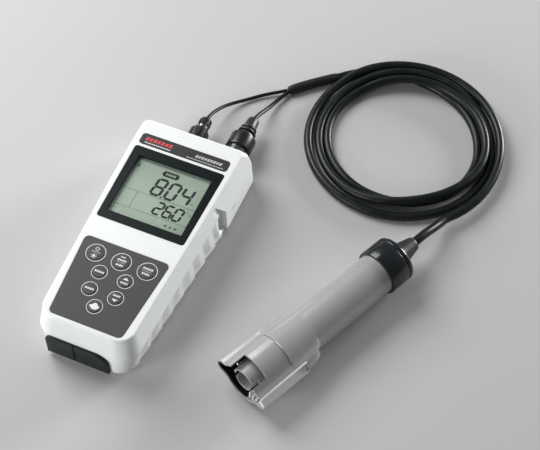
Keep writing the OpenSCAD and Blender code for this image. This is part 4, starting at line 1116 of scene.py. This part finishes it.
def slot_floor(side, low, r, start):
    """A strip that closes a slot from inside, leaning back from its lower lip to a bead."""
    high = low + 2 * r + 0.2
    lean = [(18.2, low - 0.5), (21.9, low - 0.4), (21.1, low + 1.8), (18.9, high - 3),
            (18.8, high - 1), (19.5, high - 0.2), (19.2, high), (18.2, high)]
    return loft([[mm(x * side, s, z) for x, z in lean] for s in (start + 1.6, SLOT_END + 0.8)])


def seam_cutter():
    """A shallow groove over the top of the housing, where the flared end starts."""
    groove = [(r * math.cos(a), r * math.sin(a)) for r, angles in
              ((17, range(42, 139, 4)), (15.3, range(138, 41, -4)))
              for a in (math.radians(v) for v in angles)]
    return loft([[mm(x, s, z) for x, z in groove] for s in (SEAM_S, SEAM_S - 0.6)])


def add_probe_shell():
    places = [(0, 0.5), (0.1, 0.22), (0.3, 0.06), (0.6, 0)]
    places += [(s, 0) for s in (4, 10, 16, 22, 28, 30.95, 31.25, 33, 36)]
    places += [(38 + k, 0) for k in range(24)]
    places += [(s, 0) for s in (66, 74, 84, 96, 108, 120, 127.6)] + [(128, 0.4)]
    shell = mesh_object("probe_shell", *on_probe(loft([wing_ring(s, i) for s, i in places])), 32)
    notch = block(-8.4, -1, 5, 11.8, 11.5, 22)
    drains = [block(12, 51, 0.4, 22, 54.6, 4.8), block(-22, 51, -4.8, -12, 54.6, -0.4)]
    slots = [slot_cutter(side, *sizes) for side, sizes in SLOT_PLACES.items()]
    bore = rod_y(0, 0, BORE_R, CAVITY_END - 2, 130, 64)
    cut_probe(shell, [probe_cavity(WALL, -1, CAVITY_END)], [bore],
              [notch, *drains, *slots, seam_cutter()])
    place(shell, "meter", M["probe"], "probe", "probe_housing")
    add_probe_inside(notch)


def add_probe_inside(notch):
    """The pale slot floors and ribs of the wings, and a near-black sheet round the cup that paints
    the shade inside the cavity.
    """
    parts = [slot_floor(side, *sizes) for side, sizes in SLOT_PLACES.items()]
    parts += [block(x - RIB_W / 2, 1.5, -5.6 if x > 12 else -9,
                    x + RIB_W / 2, CAVITY_END - 1.1, -3) for x in RIB_XS]
    inserts = link(bpy.data.objects.new("wing_inserts", solid([on_probe(p) for p in parts])))
    place(inserts, "meter", M["pale"], "probe")
    # painted shade: this sheet covers the left of the cavity in near-black, where the grey housing
    # lies in shade
    painted_shade = mesh_object("probe_painted_shade", *on_probe(
        probe_cavity(WALL + 0.02, 0.9, CAVITY_END - 1)), 32)
    cut_probe(painted_shade, [probe_cavity(WALL + 0.4, -1, CAVITY_END - 2)],
              [block(4.5, -2, -20, 30, 40, 20)], [notch])
    place(painted_shade, "meter", M["shade"], "probe")


def turned_on(name, profile, sides=96):
    """A piece turned round the probe's axis, from a profile of (radius, place along it)."""
    return mesh_object(name, *on_probe(along_y(0, 0, profile, sides)), 35)


def add_probe_parts():
    ring = turned_on("cap_ring_collar", [
        (14.6, 121), (15.9, 121), (16.3, 121.15), (16.5, 121.6), (16.5, 135.4), (16.35, 135.7),
        (16.05, 135.8), (16.05, 136.3), (16.35, 136.45), (16.45, 136.8), (16.4, 138.4),
        (16.1, 139.3), (15.3, 140.1), (14.2, 140.45), (9.2, 140.5), (8.9, 140.3), (8.8, 140),
        (8.8, 131.3), (14.6, 131.3), (14.6, 121)])
    place(ring, "cap_ring", M["ring"], "ring", "cap_ring")
    relief = turned_on("strain_relief_boot", [
        (3.3, 128.1), (14.2, 128.1), (14.3, 131), (8.6, 131), (8.6, 140.6), (8.75, 140.9),
        (8.75, 141.6), (8.5, 142.1), (7.9, 143.6), (6.9, 147.6), (5.9, 151.8), (5.1, 155.2),
        (4.95, 155.9), (4.6, 156.6), (3.9, 157), (0, 157), (0, 139), (3.3, 139), (3.3, 128.1)])
    place(relief, "meter", M["relief"], "relief", "strain_relief")
    cup = turned_on("sensor_cup_wall", [
        (0, 34), (0, 28), (8.2, 28), (8.2, 3.8), (8.35, 3.6), (8.6, 3.5), (9.2, 3.5), (9.4, 3.6),
        (9.5, 3.8), (9.5, 34), (0, 34)], 72)
    cut_probe(cup, [block(-10, -1, -12, 10, 27, -0.5)], [block(6.8, -1, -1, 10, 8.5, 12)],
              angle=35)
    place(cup, "meter", M["cup"], "probe", "sensor_cup")
    rim = turned_on("sensor_cup_rim", [
        (5.6, 28.5), (5.6, 2.5), (5.8, 2.3), (6.2, 2.3), (6.4, 2.5), (6.4, 28.5), (5.6, 28.5)], 72)
    cut_probe(rim, [block(-10, -1, 1.5, 10, 27, 12)], angle=35)
    place(rim, "meter", M["cup"], "probe")


add_bayonet_plug()
add_round_plug()
add_covers()
add_probe_shell()
add_probe_parts()
